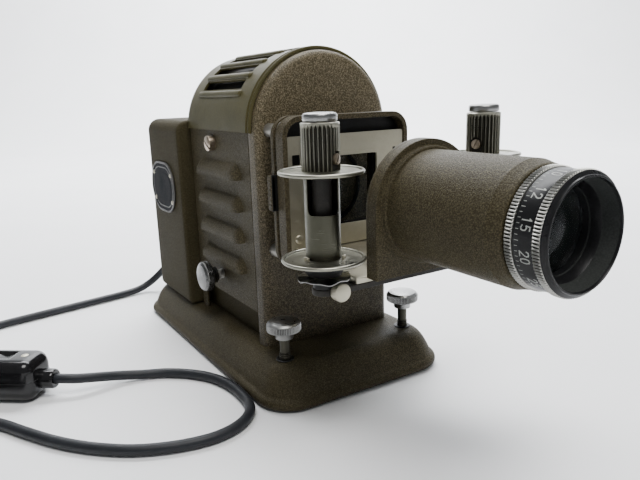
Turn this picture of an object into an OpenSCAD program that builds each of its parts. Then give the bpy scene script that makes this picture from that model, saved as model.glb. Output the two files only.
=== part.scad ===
// Film-strip projector for 35 mm strips: cast base, arched lamp house,
// rear housing, square film stage with two winding spools, focusing lens.
// X is right as seen from the front, the lens looks along -Y, Z is up.
// The origin is on the table, under the middle of the base.

/* [Base] */
// Width of the cast base
base_w = 114.6; // [110:0.2:120]
// Length of the cast base
base_l = 210; // [206:1:214]
// Height of the base top above the table
base_h = 21.4; // [21.4:0.1:21.8]
// Corner radius of the base
base_r = 20; // [16:1:24]

/* [Lamp house] */
// Half width of the lamp house, also the radius of its arch
house_r = 41; // [40.8:0.1:41.4]
// Height of the line where the arch starts
spring_z = 137; // [134:1:140]
// Front face of the lamp house
front_y = -67.4; // [-68:0.1:-67]
// Back edge of the front cowl
cowl_y = -57.5; // [-58:0.1:-57]
// Rear edge of the lamp cover
cover_y = 25; // [24:0.5:26]
// Thickness of the sheet metal
sheet_t = 1.2; // [1:0.1:1.4]

/* [Louvres and vents] */
// Number of louvres pressed in each side
louvre_n = 4; // [2:1:4]
// Height of the open strip under the side sheets
cover_gap = 18; // [15:0.5:20]
// Distance between the louvres
louvre_pitch = 17.5; // [17:0.1:18]
// Height of the top edge of the first louvre
louvre_z = 120; // [118:0.5:122]
// Number of bars over the vent
bar_n = 9; // [7:2:9]
// Angle between the vent bars
bar_step = 15.5; // [15:0.1:16]

/* [Rear housing] */
// Half width of the rear housing
rear_w = 49.3; // [48.5:0.1:50]
// Front face of the rear housing
rear_y0 = 27; // [27:0.1:27.6]
// Rear face of the rear housing
rear_y1 = 92; // [90:0.5:93]
// Top of the rear housing
rear_z = 141.7; // [140:0.1:143]

/* [Stage] */
// Height of the optical axis
axis_z = 107.1; // [107:0.1:107.4]
// Width of the square film stage
stage_w = 76.6; // [76:0.1:77]
// Width of the picture window
window_w = 35.4; // [34:0.1:36]

/* [Spools] */
// Distance of each spool from the middle
spool_x = 46.3; // [46:0.1:46.6]
// Position of the spools along the lens axis
spool_y = -135.9; // [-136.4:0.1:-135.5]
// Height of the lower flange's upper face
spool_z = 88.4; // [88.2:0.1:88.6]
// Gap between the two flanges, for film 35 mm wide
film_gap = 35.8; // [35.5:0.1:36]
// Radius of the flanges
flange_r = 18; // [17:0.1:18.4]
// Radius of the fluted knob
knob_r = 8; // [7.5:0.05:8.6]
// Number of flutes on the knob
flute_n = 28; // [16:2:30]

/* [Lens] */
// Outer radius of the lens barrel
barrel_r = 24.2; // [24:0.1:24.6]
// Front end of the lens barrel
barrel_y = -210; // [-211:0.5:-209]
// Radius of the rear knurled ring
ring1_r = 22.5; // [22.2:0.1:22.8]
// Radius of the front knurled ring
ring2_r = 22.2; // [21.8:0.1:22.4]
// Radius of the rim of the hood
hood_r = 20.4; // [20:0.1:20.8]

/* [Thumbscrews] */
// Distance of each levelling screw from the middle
screw_x = 39.3; // [38.5:0.1:40]
// Position of the levelling screws along the base
screw_y = -83.8; // [-85:0.1:-82]
// Radius of a thumbscrew's head
head_r = 9; // [8.6:0.1:9.4]
// Radius of a thumbscrew's stem
stem_r = 2.95; // [2.9:0.01:2.96]

/* [Cord] */
// Diameter of the mains cord
cord_d = 5.4; // [5.2:0.1:5.6]
// Mean radius of the stored coil
coil_r = 30; // [29:1:31]

/* [Hidden] */
$fn = 96;
e = 0.01;
paint = [0.27, 0.24, 0.19];
satin = [0.34, 0.33, 0.24];
nickel = [0.66, 0.64, 0.55];
chrome = [0.80, 0.80, 0.78];
blackc = [0.06, 0.06, 0.06];

// upper flange, knob and cap levels
up_z = spool_z + film_gap;
knob_z = up_z + 1;
knob_top = 144.6;
cap_top = 148.5;
// side thumbscrew
side_y = -11.7;
side_z = 51.2;
// gland at the back
gland_x = -26;
gland_z = 31;

// --- outlines ------------------------------------------------------------

// rectangle centred on the origin with true round corners
module rrect(w, l, r) {
  square([w - 2*r, l], center = true);
  square([w, l - 2*r], center = true);
  for (x = [-1, 1], y = [-1, 1]) translate([x*(w/2 - r), y*(l/2 - r)]) circle(r);
}
module slab(w, l, r, z0, z1) translate([0, 0, z0]) linear_extrude(z1 - z0) rrect(w, l, r);
// arched outline, straight sides up to the spring line
module arch2d(r, z0) intersection() {
  union() {
    translate([-r, z0 - 1]) square([2*r, spring_z - z0 + 1]);
    translate([0, spring_z]) circle(r);
  }
  translate([-r - 1, z0]) square([2*r + 2, 300]);
}
// arched outline run along Y
module arch(r, z0, y0, y1) translate([0, y1, 0]) rotate([90, 0, 0]) linear_extrude(y1 - y0) arch2d(r, z0);
// an outline in X and Z run along Y
module alongy(y0, y1) translate([0, y1, 0]) rotate([90, 0, 0]) linear_extrude(y1 - y0) children();
// a cylinder that runs along Y on the optical axis
module axcyl(r, y0, y1) translate([0, y1, axis_z]) rotate([90, 0, 0]) cylinder(r = r, h = y1 - y0);
module axcone(r0, r1, y0, y1) translate([0, y1, axis_z]) rotate([90, 0, 0]) cylinder(r1 = r1, r2 = r0, h = y1 - y0);

// --- base ----------------------------------------------------------------

module base_shell() color(paint) difference() {
  union() {
    hull() {
      slab(base_w - 3, base_l - 3, base_r - 1.5, 0.8, 0.81, $fn = 48);
      slab(base_w, base_l, base_r, 2.4, 4.6, $fn = 48);
      slab(base_w - 4, base_l - 4, base_r - 2, 6.4, 6.41, $fn = 48);
    }
    hull() {
      slab(base_w - 6, base_l - 6, base_r - 3, 6.2, 6.4, $fn = 48);
      slab(base_w - 11, base_l - 11, base_r - 4, 13, 13.01, $fn = 48);
      slab(base_w - 17, base_l - 17, base_r - 6, 18.4, 18.41, $fn = 48);
      slab(base_w - 23, base_l - 23, base_r - 8, base_h - 0.9, base_h - 0.89, $fn = 48);
      slab(base_w - 31, base_l - 31, base_r - 11, base_h - 0.01, base_h, $fn = 48);
    }
  }
  difference() {
    union() {
      slab(base_w - 12, base_l - 12, base_r - 6, 0, 2.6);
      slab(base_w - 28, base_l - 28, 8, 0, base_h - 3.6);
    }
    for (s = [-1, 1]) translate([s*screw_x, screw_y, 4.6]) cylinder(r = 8, h = 20);
  }
  for (s = [-1, 1]) translate([s*screw_x, screw_y, -1]) {
    cylinder(r = stem_r + 0.05, h = 30);
    cylinder(r = 7, h = 5.7);
  }
}

module base_bottom_plate() color([0.30, 0.30, 0.29]) difference() {
  slab(base_w - 12.6, base_l - 12.6, base_r - 6.3, 1.4, 2.6);
  for (s = [-1, 1]) {
    translate([s*screw_x, screw_y, 0]) cylinder(r = 7.2, h = 5);
    for (y = [-30, 10, 50]) translate([s*14, y, 0]) slab(5, 26, 2, 0, 5);
  }
}

module rubber_feet() color(blackc) for (s = [-1, 1], y = [-58, 88])
  translate([s*38, y, 0]) cylinder(r1 = 5.4, r2 = 6, h = 1.4);

// domed head, collar and stem, standing on z = 0 at the underside of the collar
module thumb_head() {
  cylinder(r = 4.8, h = 3.81);
  translate([0, 0, 3.8]) cylinder(r1 = head_r - 1, r2 = head_r, h = 1);
  translate([0, 0, 4.79]) cylinder(r = head_r, h = 3.22);
  translate([0, 0, 8]) cylinder(r1 = head_r, r2 = head_r - 1.3, h = 1.3);
  translate([0, 0, 9.3]) intersection() {
    cylinder(r = head_r - 1.3, h = 2);
    translate([0, 0, -29.2]) sphere(r = 30.2);
  }
}
module levelling_screw(s) color(chrome) translate([s*screw_x, screw_y, 0]) {
  translate([0, 0, 33]) thumb_head();
  translate([0, 0, 4.4]) cylinder(r = stem_r, h = 28.61);
}
module levelling_pad(s) color([0.5, 0.5, 0.48]) translate([s*screw_x, screw_y, 0]) {
  translate([0, 0, 1.5]) cylinder(r1 = 5.4, r2 = 6, h = 0.8);
  translate([0, 0, 2.3 - e]) cylinder(r = 6, h = 1);
  translate([0, 0, 3.2]) cylinder(r1 = 6, r2 = 3.3, h = 0.9);
}

// --- lamp house ----------------------------------------------------------

module front_cowl() color(paint) difference() {
  hull() {
    arch(house_r - 4, base_h, front_y, front_y + 0.02, $fn = 128);
    arch(house_r - 2.2, base_h, front_y + 0.5, front_y + 0.52, $fn = 128);
    arch(house_r - 0.7, base_h, front_y + 2, front_y + 2.02, $fn = 128);
    arch(house_r, base_h, front_y + 4.2, cowl_y, $fn = 128);
  }
  arch(house_r - 2.4, base_h - 5, front_y + 2.4, cowl_y + 1, $fn = 128);
  axcyl(22, front_y - 1, front_y + 5);
}

module chassis_frame() color(paint) {
  difference() {
    translate([-35, cowl_y + 0.3, base_h]) cube([70, 82, 1.6]);
    for (x = [-24, 24], y = [-40, -20, 0]) translate([x, y, base_h - 1]) cylinder(r = 4, h = 4);
  }
  for (s = [-1, 1]) difference() {
    translate([s > 0 ? 33.4 : -35, cowl_y + 0.3, base_h + 1.6]) cube([1.6, 82, 44]);
    for (y = [-42, 8]) translate([s*40, y, 46]) rotate([0, -s*90, 0]) cylinder(r = 6, h = 10);
  }
  // cradle under the condenser tube
  difference() {
    translate([-33.4, -34, base_h + 1.6]) cube([66.8, 1.6, 62]);
    translate([0, -30, axis_z]) rotate([90, 0, 0]) cylinder(r = 28.05, h = 8);
    translate([-22, -40, base_h + 8]) cube([44, 10, 40]);
  }
}

module rear_housing() color(paint) difference() {
  hull() {
    for (x = [-1, 1]) {
      for (z = [base_h + 4, rear_z - 8]) {
        r = z > 60 ? 8 : 4;
        translate([x*(rear_w - r), rear_y0 + 3, z]) rotate([90, 0, 0]) cylinder(r = r - 1.4, h = 3, $fn = 40);
        translate([x*(rear_w - r), rear_y0 + 4.5, z]) rotate([90, 0, 0]) cylinder(r = r, h = 1.5, $fn = 40);
        translate([x*(rear_w - r), rear_y1 - r, z]) sphere(r = r, $fn = 40);
      }
    }
  }
  hull() {
    for (x = [-1, 1], y = [rear_y0 + 8, rear_y1 - 8]) {
      translate([x*(rear_w - 8), y, rear_z - 8]) sphere(r = 6.4, $fn = 32);
      translate([x*(rear_w - 4), y + (y > 60 ? 4 : 0), base_h + 4]) sphere(r = 2.4, $fn = 32);
    }
  }
  translate([gland_x, rear_y1 + 1, gland_z]) rotate([90, 0, 0]) cylinder(r = 5.05, h = 8);
  for (x = [-30 : 10 : 30]) translate([x, rear_y1 - 4, 0]) alongy(-1, 8) translate([0, 110]) rrect(5, 28, 2.2);
}

module badge() color([0.10, 0.12, 0.18]) translate([-rear_w, 61, 97]) rotate([0, -90, 0])
  difference() {
    union() {
      linear_extrude(1.0) badge2d(0);
      linear_extrude(1.3) difference() { badge2d(0); badge2d(1.1); }
    }
    for (y = [-1, 1], z = [-1, 1]) translate([z*8.9, y*16.9, -1]) cylinder(r = 0.9, h = 4);
  }
// oval outline from two flat sides and two round ends
module badge2d(d) {
  square([34 - 2*d, 15], center = true);
  for (y = [-1, 1]) intersection() {
    translate([0, y*6]) circle(17 - d);
    translate([-20, y > 0 ? 0 : -30]) square([40, 30]);
  }
}
module badge_rivets() color(chrome) translate([-rear_w, 61, 97]) rotate([0, -90, 0])
  for (y = [-1, 1], z = [-1, 1]) translate([z*8.9, y*16.9, 0]) {
    cylinder(r = 0.85, h = 1.01);
    translate([0, 0, 1]) intersection() { cylinder(r = 1.5, h = 1); translate([0, 0, -1.1]) sphere(r = 2); }
  }

module cable_gland() color(blackc) translate([gland_x, rear_y1, gland_z]) rotate([-90, 0, 0]) difference() {
  union() {
    translate([0, 0, -2.6]) cylinder(r = 5, h = 3);
    translate([0, 0, -5.4]) cylinder(r = 7, h = 3, $fn = 6);
    cylinder(r = 7.4, h = 2.6);
    translate([0, 0, 2.6 - e]) cylinder(r1 = 6.2, r2 = 3.7, h = 19.4);
  }
  translate([0, 0, -8]) cylinder(r = cord_d/2, h = 40);
}

// --- inside --------------------------------------------------------------

module transformer_core() color([0.25, 0.24, 0.23]) difference() {
  union() {
    translate([-28, 44, base_h + 4]) cube([56, 32, 50]);
    for (s = [-1, 1]) translate([s*18 - 5, 40, base_h + 1.68]) cube([10, 40, 2.5]);
  }
  for (s = [-1, 1]) translate([s*13 - 5.6, 40, base_h + 14]) cube([11.2, 40, 30]);
}
module transformer_coil() color([0.55, 0.33, 0.16]) difference() {
  translate([0, 60, 0]) slab(36.4, 46, 5, base_h + 14.3, base_h + 43.7);
  translate([-7.6, 43.9, base_h]) cube([15.2, 32.2, 60]);
}

module lamp_socket() color([0.80, 0.78, 0.72]) translate([0, 2, 0]) {
  difference() {
    translate([0, 0, 46]) cylinder(r = 15, h = 22);
    translate([0, 0, 50]) cylinder(r = 11.2, h = 30);
  }
  translate([0, 0, 43.5]) cylinder(r = 16.2, h = 2.51);
  for (s = [-1, 1]) translate([s*12.5, 0, base_h + 1.6]) cylinder(r = 3, h = 43.6 - base_h - 1.6);
}
module lamp_bulb() color([0.9, 0.9, 0.85]) translate([0, 2, 0]) {
  translate([0, 0, 50]) cylinder(r = 11.1, h = 24.2);
  translate([0, 0, 74.2]) cylinder(r1 = 11.1, r2 = 14, h = 6);
  translate([0, 0, 80.2 - e]) cylinder(r = 14, h = 44);
  translate([0, 0, 124.2 - e]) sphere(r = 14);
}
module reflector() color(chrome) {
  translate([0, 2, axis_z]) rotate([-90, 0, 0]) difference() {
    sphere(r = 20.6);
    sphere(r = 19.6);
    translate([-30, -30, -60]) cube([60, 60, 74.4]);
  }
  translate([0, 20.2, base_h + 1.6]) cylinder(r = 1.6, h = axis_z - 10.2 - base_h);
}
module condenser_tube() color([0.35, 0.35, 0.33]) difference() {
  union() {
    axcyl(28, front_y + 2.4, -24);
    axcyl(21.9, front_y - 0.4, front_y + 2.41);
  }
  axcyl(26, front_y + 4.4, -23);
  axcyl(19.6, front_y - 1, front_y + 6);
}
module condenser_lenses() color([0.8, 0.88, 0.9, 0.5]) {
  intersection() {
    axcyl(25.95, front_y + 4.4, front_y + 17);
    translate([0, front_y - 16, axis_z]) sphere(r = 33);
  }
  intersection() {
    axcyl(25.95, -41, -27);
    translate([0, -8, axis_z]) sphere(r = 33);
  }
}

// --- lifting cover -------------------------------------------------------

// outer or inner skin of a louvre on the -X side; top edge at z = 0
module louvre_skin(d) {
  rc = 11.03;
  intersection() {
    translate([-house_r - 4 + rc, 13.3 - d, -8.6]) rotate([90, 0, 0]) cylinder(r = rc - d, h = 59.3 - 2*d);
    translate([-house_r - 5, -50, -8.6]) cube([6, 70, 9]);
    // rounded ends
    translate([-house_r - 6, 0, 0]) rotate([90, 0, 90]) linear_extrude(8) {
      translate([-46 + 8 + d, -8.6 - e]) square([59.3 - 16 - 2*d, 9]);
      for (y = [-38, 5.3]) intersection() {
        translate([y, -8.6]) circle(8 - d);
        translate([y - 20, -8.6 - e]) square([40, 12]);
      }
    }
  }
}
module lamp_cover() color(paint) {
  difference() {
    union() {
      arch(house_r, base_h + 1, cowl_y + 0.3, cover_y);
      for (s = [0, 1]) mirror([s, 0, 0]) for (k = [0 : louvre_n - 1])
        translate([0, 0, louvre_z - k*louvre_pitch]) louvre_skin(0);
    }
    arch(house_r - sheet_t, base_h - 1, cowl_y - 1, cover_y + 1);
    for (s = [0, 1]) mirror([s, 0, 0]) for (k = [0 : louvre_n - 1])
      translate([0, 0, louvre_z - k*louvre_pitch]) {
        louvre_skin(1);
        translate([-house_r - 1, -42, -8.7]) cube([4, 51, 6]);
      }
    // opening under the vent
    translate([-33, -43, spring_z + 20]) cube([66, 55, 40]);
    // open strips under the side sheets, and the hole for the side screw
    for (s = [-1, 1]) translate([s*house_r - 3, cowl_y - 1, base_h - 1]) cube([6, 75.5, cover_gap + 1]);
    translate([-house_r - 2, side_y, side_z]) rotate([0, 90, 0]) cylinder(r = stem_r + 0.05, h = 6);
    for (s = [-1, 1]) translate([s*house_r, -9.8, 129.4]) rotate([0, 90, 0]) cylinder(r = 1.45, h = 6, center = true);
  }
  // threaded plate for the side screw
  difference() {
    translate([-house_r + sheet_t - e, side_y, side_z]) rotate([0, 90, 0]) cylinder(r = 7, h = 1.2);
    translate([-house_r - 2, side_y, side_z]) rotate([0, 90, 0]) cylinder(r = stem_r + 0.05, h = 6);
  }
}

module vent_cover() color(satin) {
  difference() {
    union() {
      arch(house_r + 1.3, spring_z, -62.7, cover_y + 0.4);
      arch(house_r + 2, spring_z, -62.7, -61.3);
      arch(house_r + 2, spring_z, -59.3, -57.9);
      for (k = [0 : bar_n - 1]) translate([0, 0, spring_z]) rotate([0, -(28 + k*bar_step), 0])
        translate([house_r + 1.3, 14, 0]) rotate([90, 0, 0]) cylinder(r = 1.5, h = 59, $fn = 32);
    }
    arch(house_r, spring_z - 5, cowl_y + 0.3, cover_y + 2);
    arch(house_r + 0.3, spring_z - 5, -64, cowl_y + 0.31);
    for (k = [0 : bar_n - 2]) translate([0, 0, spring_z]) rotate([0, -(28 + (k + 0.5)*bar_step), 0])
      translate([house_r - 4, -42, -2.9]) cube([10, 53, 5.8]);
  }
}
module cover_screws() color(chrome) for (s = [-1, 1]) translate([s*house_r, -9.8, 129.4]) rotate([0, s*90, 0])
  difference() {
    union() {
      cylinder(r = 4.5, h = 2.8);
      translate([0, 0, 2.8 - e]) intersection() { cylinder(r = 4.5, h = 3); translate([0, 0, -5.6]) sphere(r = 7.19); }
      translate([0, 0, -3.4]) cylinder(r = 1.4, h = 3.41);
    }
    translate([-0.5, -6, 2.7]) cube([1, 12, 3]);
  }
// the screw's hole in the cover is filled by its shank
module side_knob() color(chrome) translate([0, side_y, side_z]) rotate([0, -90, 0]) {
  translate([0, 0, 36.5]) cylinder(r = stem_r, h = 9.11);
  translate([0, 0, 45.6]) thumb_head();
}
module side_clamp_pad() color([0.62, 0.50, 0.26]) translate([0, side_y, side_z]) rotate([0, -90, 0])
  translate([0, 0, 35.3]) cylinder(r = 3.6, h = 0.9);

// --- film stage ----------------------------------------------------------

module stand_offs() color([0.7, 0.7, 0.68]) for (x = [-1, 1], z = [-1, 1])
  translate([x*33.6, front_y, axis_z + z*31.2]) rotate([90, 0, 0]) cylinder(r = 3.4, h = 9.3);

module stage_rear_plate() color(paint) difference() {
  union() {
    alongy(-79.7, -76.7) translate([0, axis_z]) rrect(stage_w, stage_w, 10);
    for (x = [-1, 1], z = [-1, 1]) translate([x*32, -79.69, axis_z + z*32]) rotate([90, 0, 0]) cylinder(r = 4, h = 2.51);
  }
  alongy(-81, -75) translate([0, axis_z]) rrect(40, 40, 2);
}
module stage_frame() color(paint) difference() {
  alongy(-89.5, -82.2) translate([0, axis_z]) rrect(stage_w, stage_w, 10);
  alongy(-91, -83.7) translate([0, axis_z]) rrect(stage_w - 5.2, stage_w - 5.2, 7.6);
  alongy(-84, -81) translate([0, axis_z]) rrect(39, 39, 1.5);
}
module gate_plate() color(nickel) difference() {
  union() {
    alongy(-88.7, -87.9) translate([0, axis_z + 0.2]) square([70.6, 57], center = true);
    for (s = [-1, 1]) translate([s*34.8 - 0.5, -87.9 - e, 80]) cube([1, 4.2, 54]);
  }
  alongy(-90, -86) translate([0, axis_z]) rrect(window_w, window_w, 0.6);
  for (s = [-1, 1]) {
    alongy(-90, -86) translate([s*30.8, 84.9]) circle(1.25);
    alongy(-90, -86) translate([s*30.8, 124.4]) square([4.4, 5], center = true);
  }
}
module stage_screws() color(nickel) {
  for (s = [-1, 1]) translate([s*30.8, -88.7, 84.9]) rotate([90, 0, 0]) {
    difference() {
      intersection() { cylinder(r = 2.2, h = 1.2); translate([0, 0, -1.6]) sphere(r = 2.8); }
      translate([-3, -0.3, 0.7]) cube([6, 0.6, 1]);
    }
    translate([0, 0, -5]) cylinder(r = 1.2, h = 5.01);
  }
  // clamp pin at the front of the left arm
  translate([-43, -141.4, 74.2]) rotate([90, 0, 0]) cylinder(r = 4.1, h = 3.8);
}
module stage_floor() color(nickel) {
  translate([-33.8, -141.9, 75.4]) cube([67.6, 58.2, 2.8]);
  for (s = [-1, 1]) translate([s*33.2 - 0.6, -124, 78.2 - e]) cube([1.2, 34, 3]);
}
module pressure_plate() color(paint) difference() {
  union() {
    alongy(-81.9, -81) translate([0, axis_z]) square([55, 50], center = true);
    translate([-41.2, -81.9, 99.4]) cube([14, 0.9, 18]);
    translate([-41.6, -81.9, 99.4]) cube([3, 4.4, 18]);
  }
  alongy(-83, -77) translate([0, axis_z]) square([36.4, 36.4], center = true);
}
module pressure_glass() color([0.8, 0.9, 0.9, 0.4]) alongy(-81.9, -81) translate([0, axis_z]) square([36.4, 36.4], center = true);

// --- lens ----------------------------------------------------------------

module lens_mount() color(paint) difference() {
  union() {
    axcyl(28.6, -145.2, -141.9);
    translate([-28.6, -149.2, 77.3]) cube([57.2, 7.3, axis_z - 77.3]);
    axcyl(27.2, -149.2, -145);
    axcyl(25.6, -151.2, -149.1);
  }
  axcyl(21.05, -160, -140);
}
module lens_barrel() color(paint) difference() {
  union() {
    axcyl(barrel_r, barrel_y + 5.4, -151.2);
    axcone(barrel_r - 1.4, barrel_r, barrel_y, barrel_y + 5.4);
  }
  axcyl(21.05, barrel_y - 1, -150);
}
module focusing_sleeve() color(nickel) difference() {
  axcyl(21, -206, -150);
  axcyl(18.05, -207, -149);
}
module lens_tube() color(blackc) difference() {
  union() {
    axcyl(18, -215, -155);
    axcone(21.5, 22, -221.6, -213.8);
  }
  axcyl(16.2, -217, -154);
  axcone(19, 16.2, -222, -216.99);
}
module ring_teeth(r, n, y0, y1) difference() {
  axcyl(r, y0, y1);
  for (k = [0 : n - 1]) translate([0, y1 + 1, axis_z]) rotate([0, k*360/n, 0]) translate([r + 0.35, 0, 0])
    rotate([90, 0, 0]) cylinder(r = 0.75, h = y1 - y0 + 2, $fn = 16);
}
module lens_rear_ring() color(chrome) difference() {
  ring_teeth(ring1_r, 60, -213.7, -210.5);
  axcyl(18.02, -216, -209);
}
module lens_front_ring() color(chrome) difference() {
  ring_teeth(ring2_r, 60, -225, -221.6);
  axcyl(19.6, -226, -220);
}
module lens_hood() color(blackc) difference() {
  union() {
    axcyl(19.55, -225.05, -221.6);
    axcyl(hood_r, -226.8, -225.05);
  }
  axcone(hood_r - 1, 17.6, -226.9, -221.5);
}
module lens_elements() color([0.75, 0.85, 0.9, 0.5]) {
  intersection() {
    axcyl(16.15, -217, -209);
    translate([0, -175.6, axis_z]) sphere(r = 41);
  }
  intersection() {
    axcyl(16.15, -166, -157);
    translate([0, -198.4, axis_z]) sphere(r = 41);
  }
}

// --- spools --------------------------------------------------------------

module spool_arms() color(blackc) {
  difference() {
    union() {
      translate([-spool_x, -141.4, 72.4]) cube([2*spool_x, 11, 3]);
      for (s = [-1, 1]) translate([s*spool_x, spool_y, 72.4]) {
        cylinder(r = 5.2, h = 3);
        cylinder(r = 4.9, h = 5.95);
      }
    }
    for (s = [-1, 1]) translate([s*spool_x, spool_y, 70]) cylinder(r = 3.02, h = 10);
  }
}
module spool_spindles() color(chrome) for (s = [-1, 1]) translate([s*spool_x, spool_y, 0]) {
  translate([0, 0, 72]) cylinder(r = 3, h = 73);
  translate([0, 0, knob_top + 0.32]) cylinder(r = 7.15, h = cap_top - knob_top - 1.12);
  translate([0, 0, cap_top - 0.8 - e]) cylinder(r1 = 7.15, r2 = 6.4, h = 0.8);
}
module spool_cups() color(blackc) for (s = [-1, 1]) translate([s*spool_x, spool_y, 0]) difference() {
  union() {
    translate([0, 0, 80.9]) cylinder(r1 = 7.4, r2 = 9.2, h = 3.6);
    translate([0, 0, 84.5 - e]) cylinder(r = 9.2, h = 2.6);
  }
  translate([0, 0, 82.4]) cylinder(r = 7.4, h = 8);
  translate([0, 0, 78]) cylinder(r = 3.02, h = 8);
}
module spool_spring_washers() color(chrome) for (s = [-1, 1]) translate([s*spool_x, spool_y, 0]) {
  difference() {
    translate([0, 0, 79.4]) cylinder(r = 11.2, h = 0.6);
    translate([0, 0, 78]) cylinder(r = 3.05, h = 4);
  }
  for (k = [0 : 3]) rotate([0, 0, 45 + k*90]) translate([5.6, 0, 78.35]) cylinder(r = 1.2, h = 1.06);
  for (k = [0 : 3]) rotate([0, 0, k*90]) translate([5.6, 0, 79.9]) cylinder(r = 1.2, h = 0.98);
}
// a = direction of the window in the core
module spool_core(s, a) color(nickel) translate([s*spool_x, spool_y, 0]) difference() {
  translate([0, 0, spool_z + 0.05]) cylinder(r = 7.5, h = film_gap - 0.1);
  difference() {
    translate([0, 0, spool_z + 2]) cylinder(r = 6.4, h = film_gap);
    translate([0, 0, spool_z]) cylinder(r = 4.2, h = film_gap + 2);
  }
  translate([0, 0, spool_z - 1]) cylinder(r = 3.06, h = 60);
  rotate([0, 0, a]) intersection() {
    translate([4.4, -5.6, 107.4]) union() {
      translate([0, 0, 2.4]) cube([6, 11.2, 20]);
      translate([0, 2.4, 0]) cube([6, 6.4, 20]);
      for (y = [2.4, 8.8]) translate([0, y, 2.4]) rotate([0, 90, 0]) cylinder(r = 2.4, h = 6);
    }
    translate([0, 0, 100]) cylinder(r = 9, h = 24);
  }
}
module flange(s, z, r) translate([s*spool_x, spool_y, 0]) difference() {
  union() {
    translate([0, 0, z]) cylinder(r = r - 0.8, h = 1);
    translate([0, 0, z + 0.5]) rotate_extrude() translate([r - 0.8, 0]) circle(0.8, $fn = 24);
  }
  translate([0, 0, z - 2]) cylinder(r = 3.06, h = 5);
}
module spool_lower_flange(s) color(nickel) flange(s, spool_z - 1, flange_r);
module spool_upper_flange(s) color(nickel) flange(s, up_z, flange_r);
// a = direction of the set screw notch
module spool_knob(s, a) color(nickel) translate([s*spool_x, spool_y, 0]) {
  difference() {
    translate([0, 0, knob_z + 0.02]) cylinder(r = knob_r, h = knob_top - knob_z);
    for (k = [0 : flute_n - 1]) rotate([0, 0, (k + 0.5)*360/flute_n]) translate([knob_r + 0.25, 0, knob_z + 0.8])
      cylinder(r = 0.8, h = 30, $fn = 20);
    translate([0, 0, knob_z - 1]) cylinder(r = 3.06, h = 30);
    rotate([0, 0, a]) {
      translate([knob_r - 1.7, 0, knob_z + 5.4]) rotate([0, 90, 0]) cylinder(r = 3, h = 4);
      translate([knob_r - 1.7, -3, knob_z - 1]) cube([4, 6, 6.4]);
    }
  }
  rotate([0, 0, a]) translate([knob_r - 1.71, 0, knob_z + 5.2]) rotate([0, 90, 0]) difference() {
    intersection() { cylinder(r = 1.9, h = 1.6); translate([0, 0, -0.9]) sphere(r = 2.45); }
    translate([-3, -0.3, 0.9]) cube([6, 0.6, 1]);
  }
}

// --- mains cord ----------------------------------------------------------

cz = cord_d/2 + 0.05;
// from the gland down to the table, round to the switch
lead = [[gland_x, 113.9, gland_z], [gland_x, 118, 30.8], [-26.8, 125, 28.4], [-29.5, 132.5, 22.5], [-35, 138.5, 14.5],
  [-43, 141.5, 7.5], [-53, 141, 3.6], [-66, 138.4, cz], [-84, 135, cz], [-103, 131.6, cz], [-130, 127, cz], [-157, 121.8, cz],
  [-178, 114, cz], [-196, 100, cz], [-206, 80, cz], [-206.5, 58, cz], [-201, 40.9, 5.6], [-191.6, 28.5, 9.9], [-187.2, 25.1, 10]];
// from the switch through the loop in front, and off to the coil
tail = [[-144.2, -8.2, 10], [-138.6, -12.4, 9.9], [-131.5, -15.8, 9.2], [-121.5, -16.4, 7.4], [-109.5, -16, 4.8],
  [-97, -18.8, 3], [-84.1, -24.8, cz], [-72.2, -36, cz], [-64.6, -48.5, cz], [-61.2, -62, cz], [-60.8, -75.5, cz],
  [-62.4, -86.5, cz], [-67.6, -95.4, cz], [-76.4, -101.6, cz], [-87.5, -104.2, cz], [-99, -103, cz], [-111, -99.2, cz],
  [-122.9, -93.1, cz], [-133.2, -85, cz], [-142.8, -75.3, cz], [-152, -63.5, cz], [-161.3, -48.5, cz], [-172, -30.5, cz],
  [-187, -12.5, cz], [-207, -2.2, cz], [-228, -3.4, cz], [-243.7, -14.6, cz]];
coil_c = [-222, -46];

function cr(a, b, c, d, t) = 0.5*((2*b) + (c - a)*t + (2*a - 5*b + 4*c - d)*t*t + (3*b - a - 3*c + d)*t*t*t);
function at(p, i) = p[max(0, min(len(p) - 1, i))];
function smooth(p, n) = [for (i = [0 : len(p) - 2], k = [0 : n - 1]) cr(at(p, i - 1), p[i], p[i + 1], at(p, i + 2), k/n), p[len(p) - 1]];
function unit(v) = v/norm(v);
function ring(c, t, r, n) = let (s = unit(cross(t, [0, 0, 1])), u = cross(s, t))
  [for (k = [0 : n - 1]) c + r*(cos(k*360/n)*s + sin(k*360/n)*u)];
// r is set so that the many-sided tube holds the round cord's size
module tube(path, d, n = 10) {
  p = smooth(path, 2);
  m = len(p);
  r = d/2;
  pts = [for (i = [0 : m - 1]) for (q = ring(p[i], unit(at(p, i + 1) - at(p, i - 1)), r, n)) q];
  faces = concat([[for (k = [0 : n - 1]) k]],
    [for (i = [0 : m - 2], k = [0 : n - 1]) each [[i*n + k, (i + 1)*n + k, (i + 1)*n + (k + 1)%n], [i*n + k, (i + 1)*n + (k + 1)%n, i*n + (k + 1)%n]]],
    [[for (k = [n - 1 : -1 : 0]) (m - 1)*n + k]]);
  polyhedron(points = pts, faces = faces, convexity = 8);
}
module cord_lead() color(blackc) tube(lead, cord_d);
module cord_tail() color(blackc) tube(tail, cord_d);
module cord_coil() color(blackc) translate([coil_c[0], coil_c[1], 0]) rotate_extrude()
  translate([coil_r - cord_d - 0.1, 0.05]) square([2*cord_d + 0.2, 3*cord_d + 0.2]);

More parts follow.
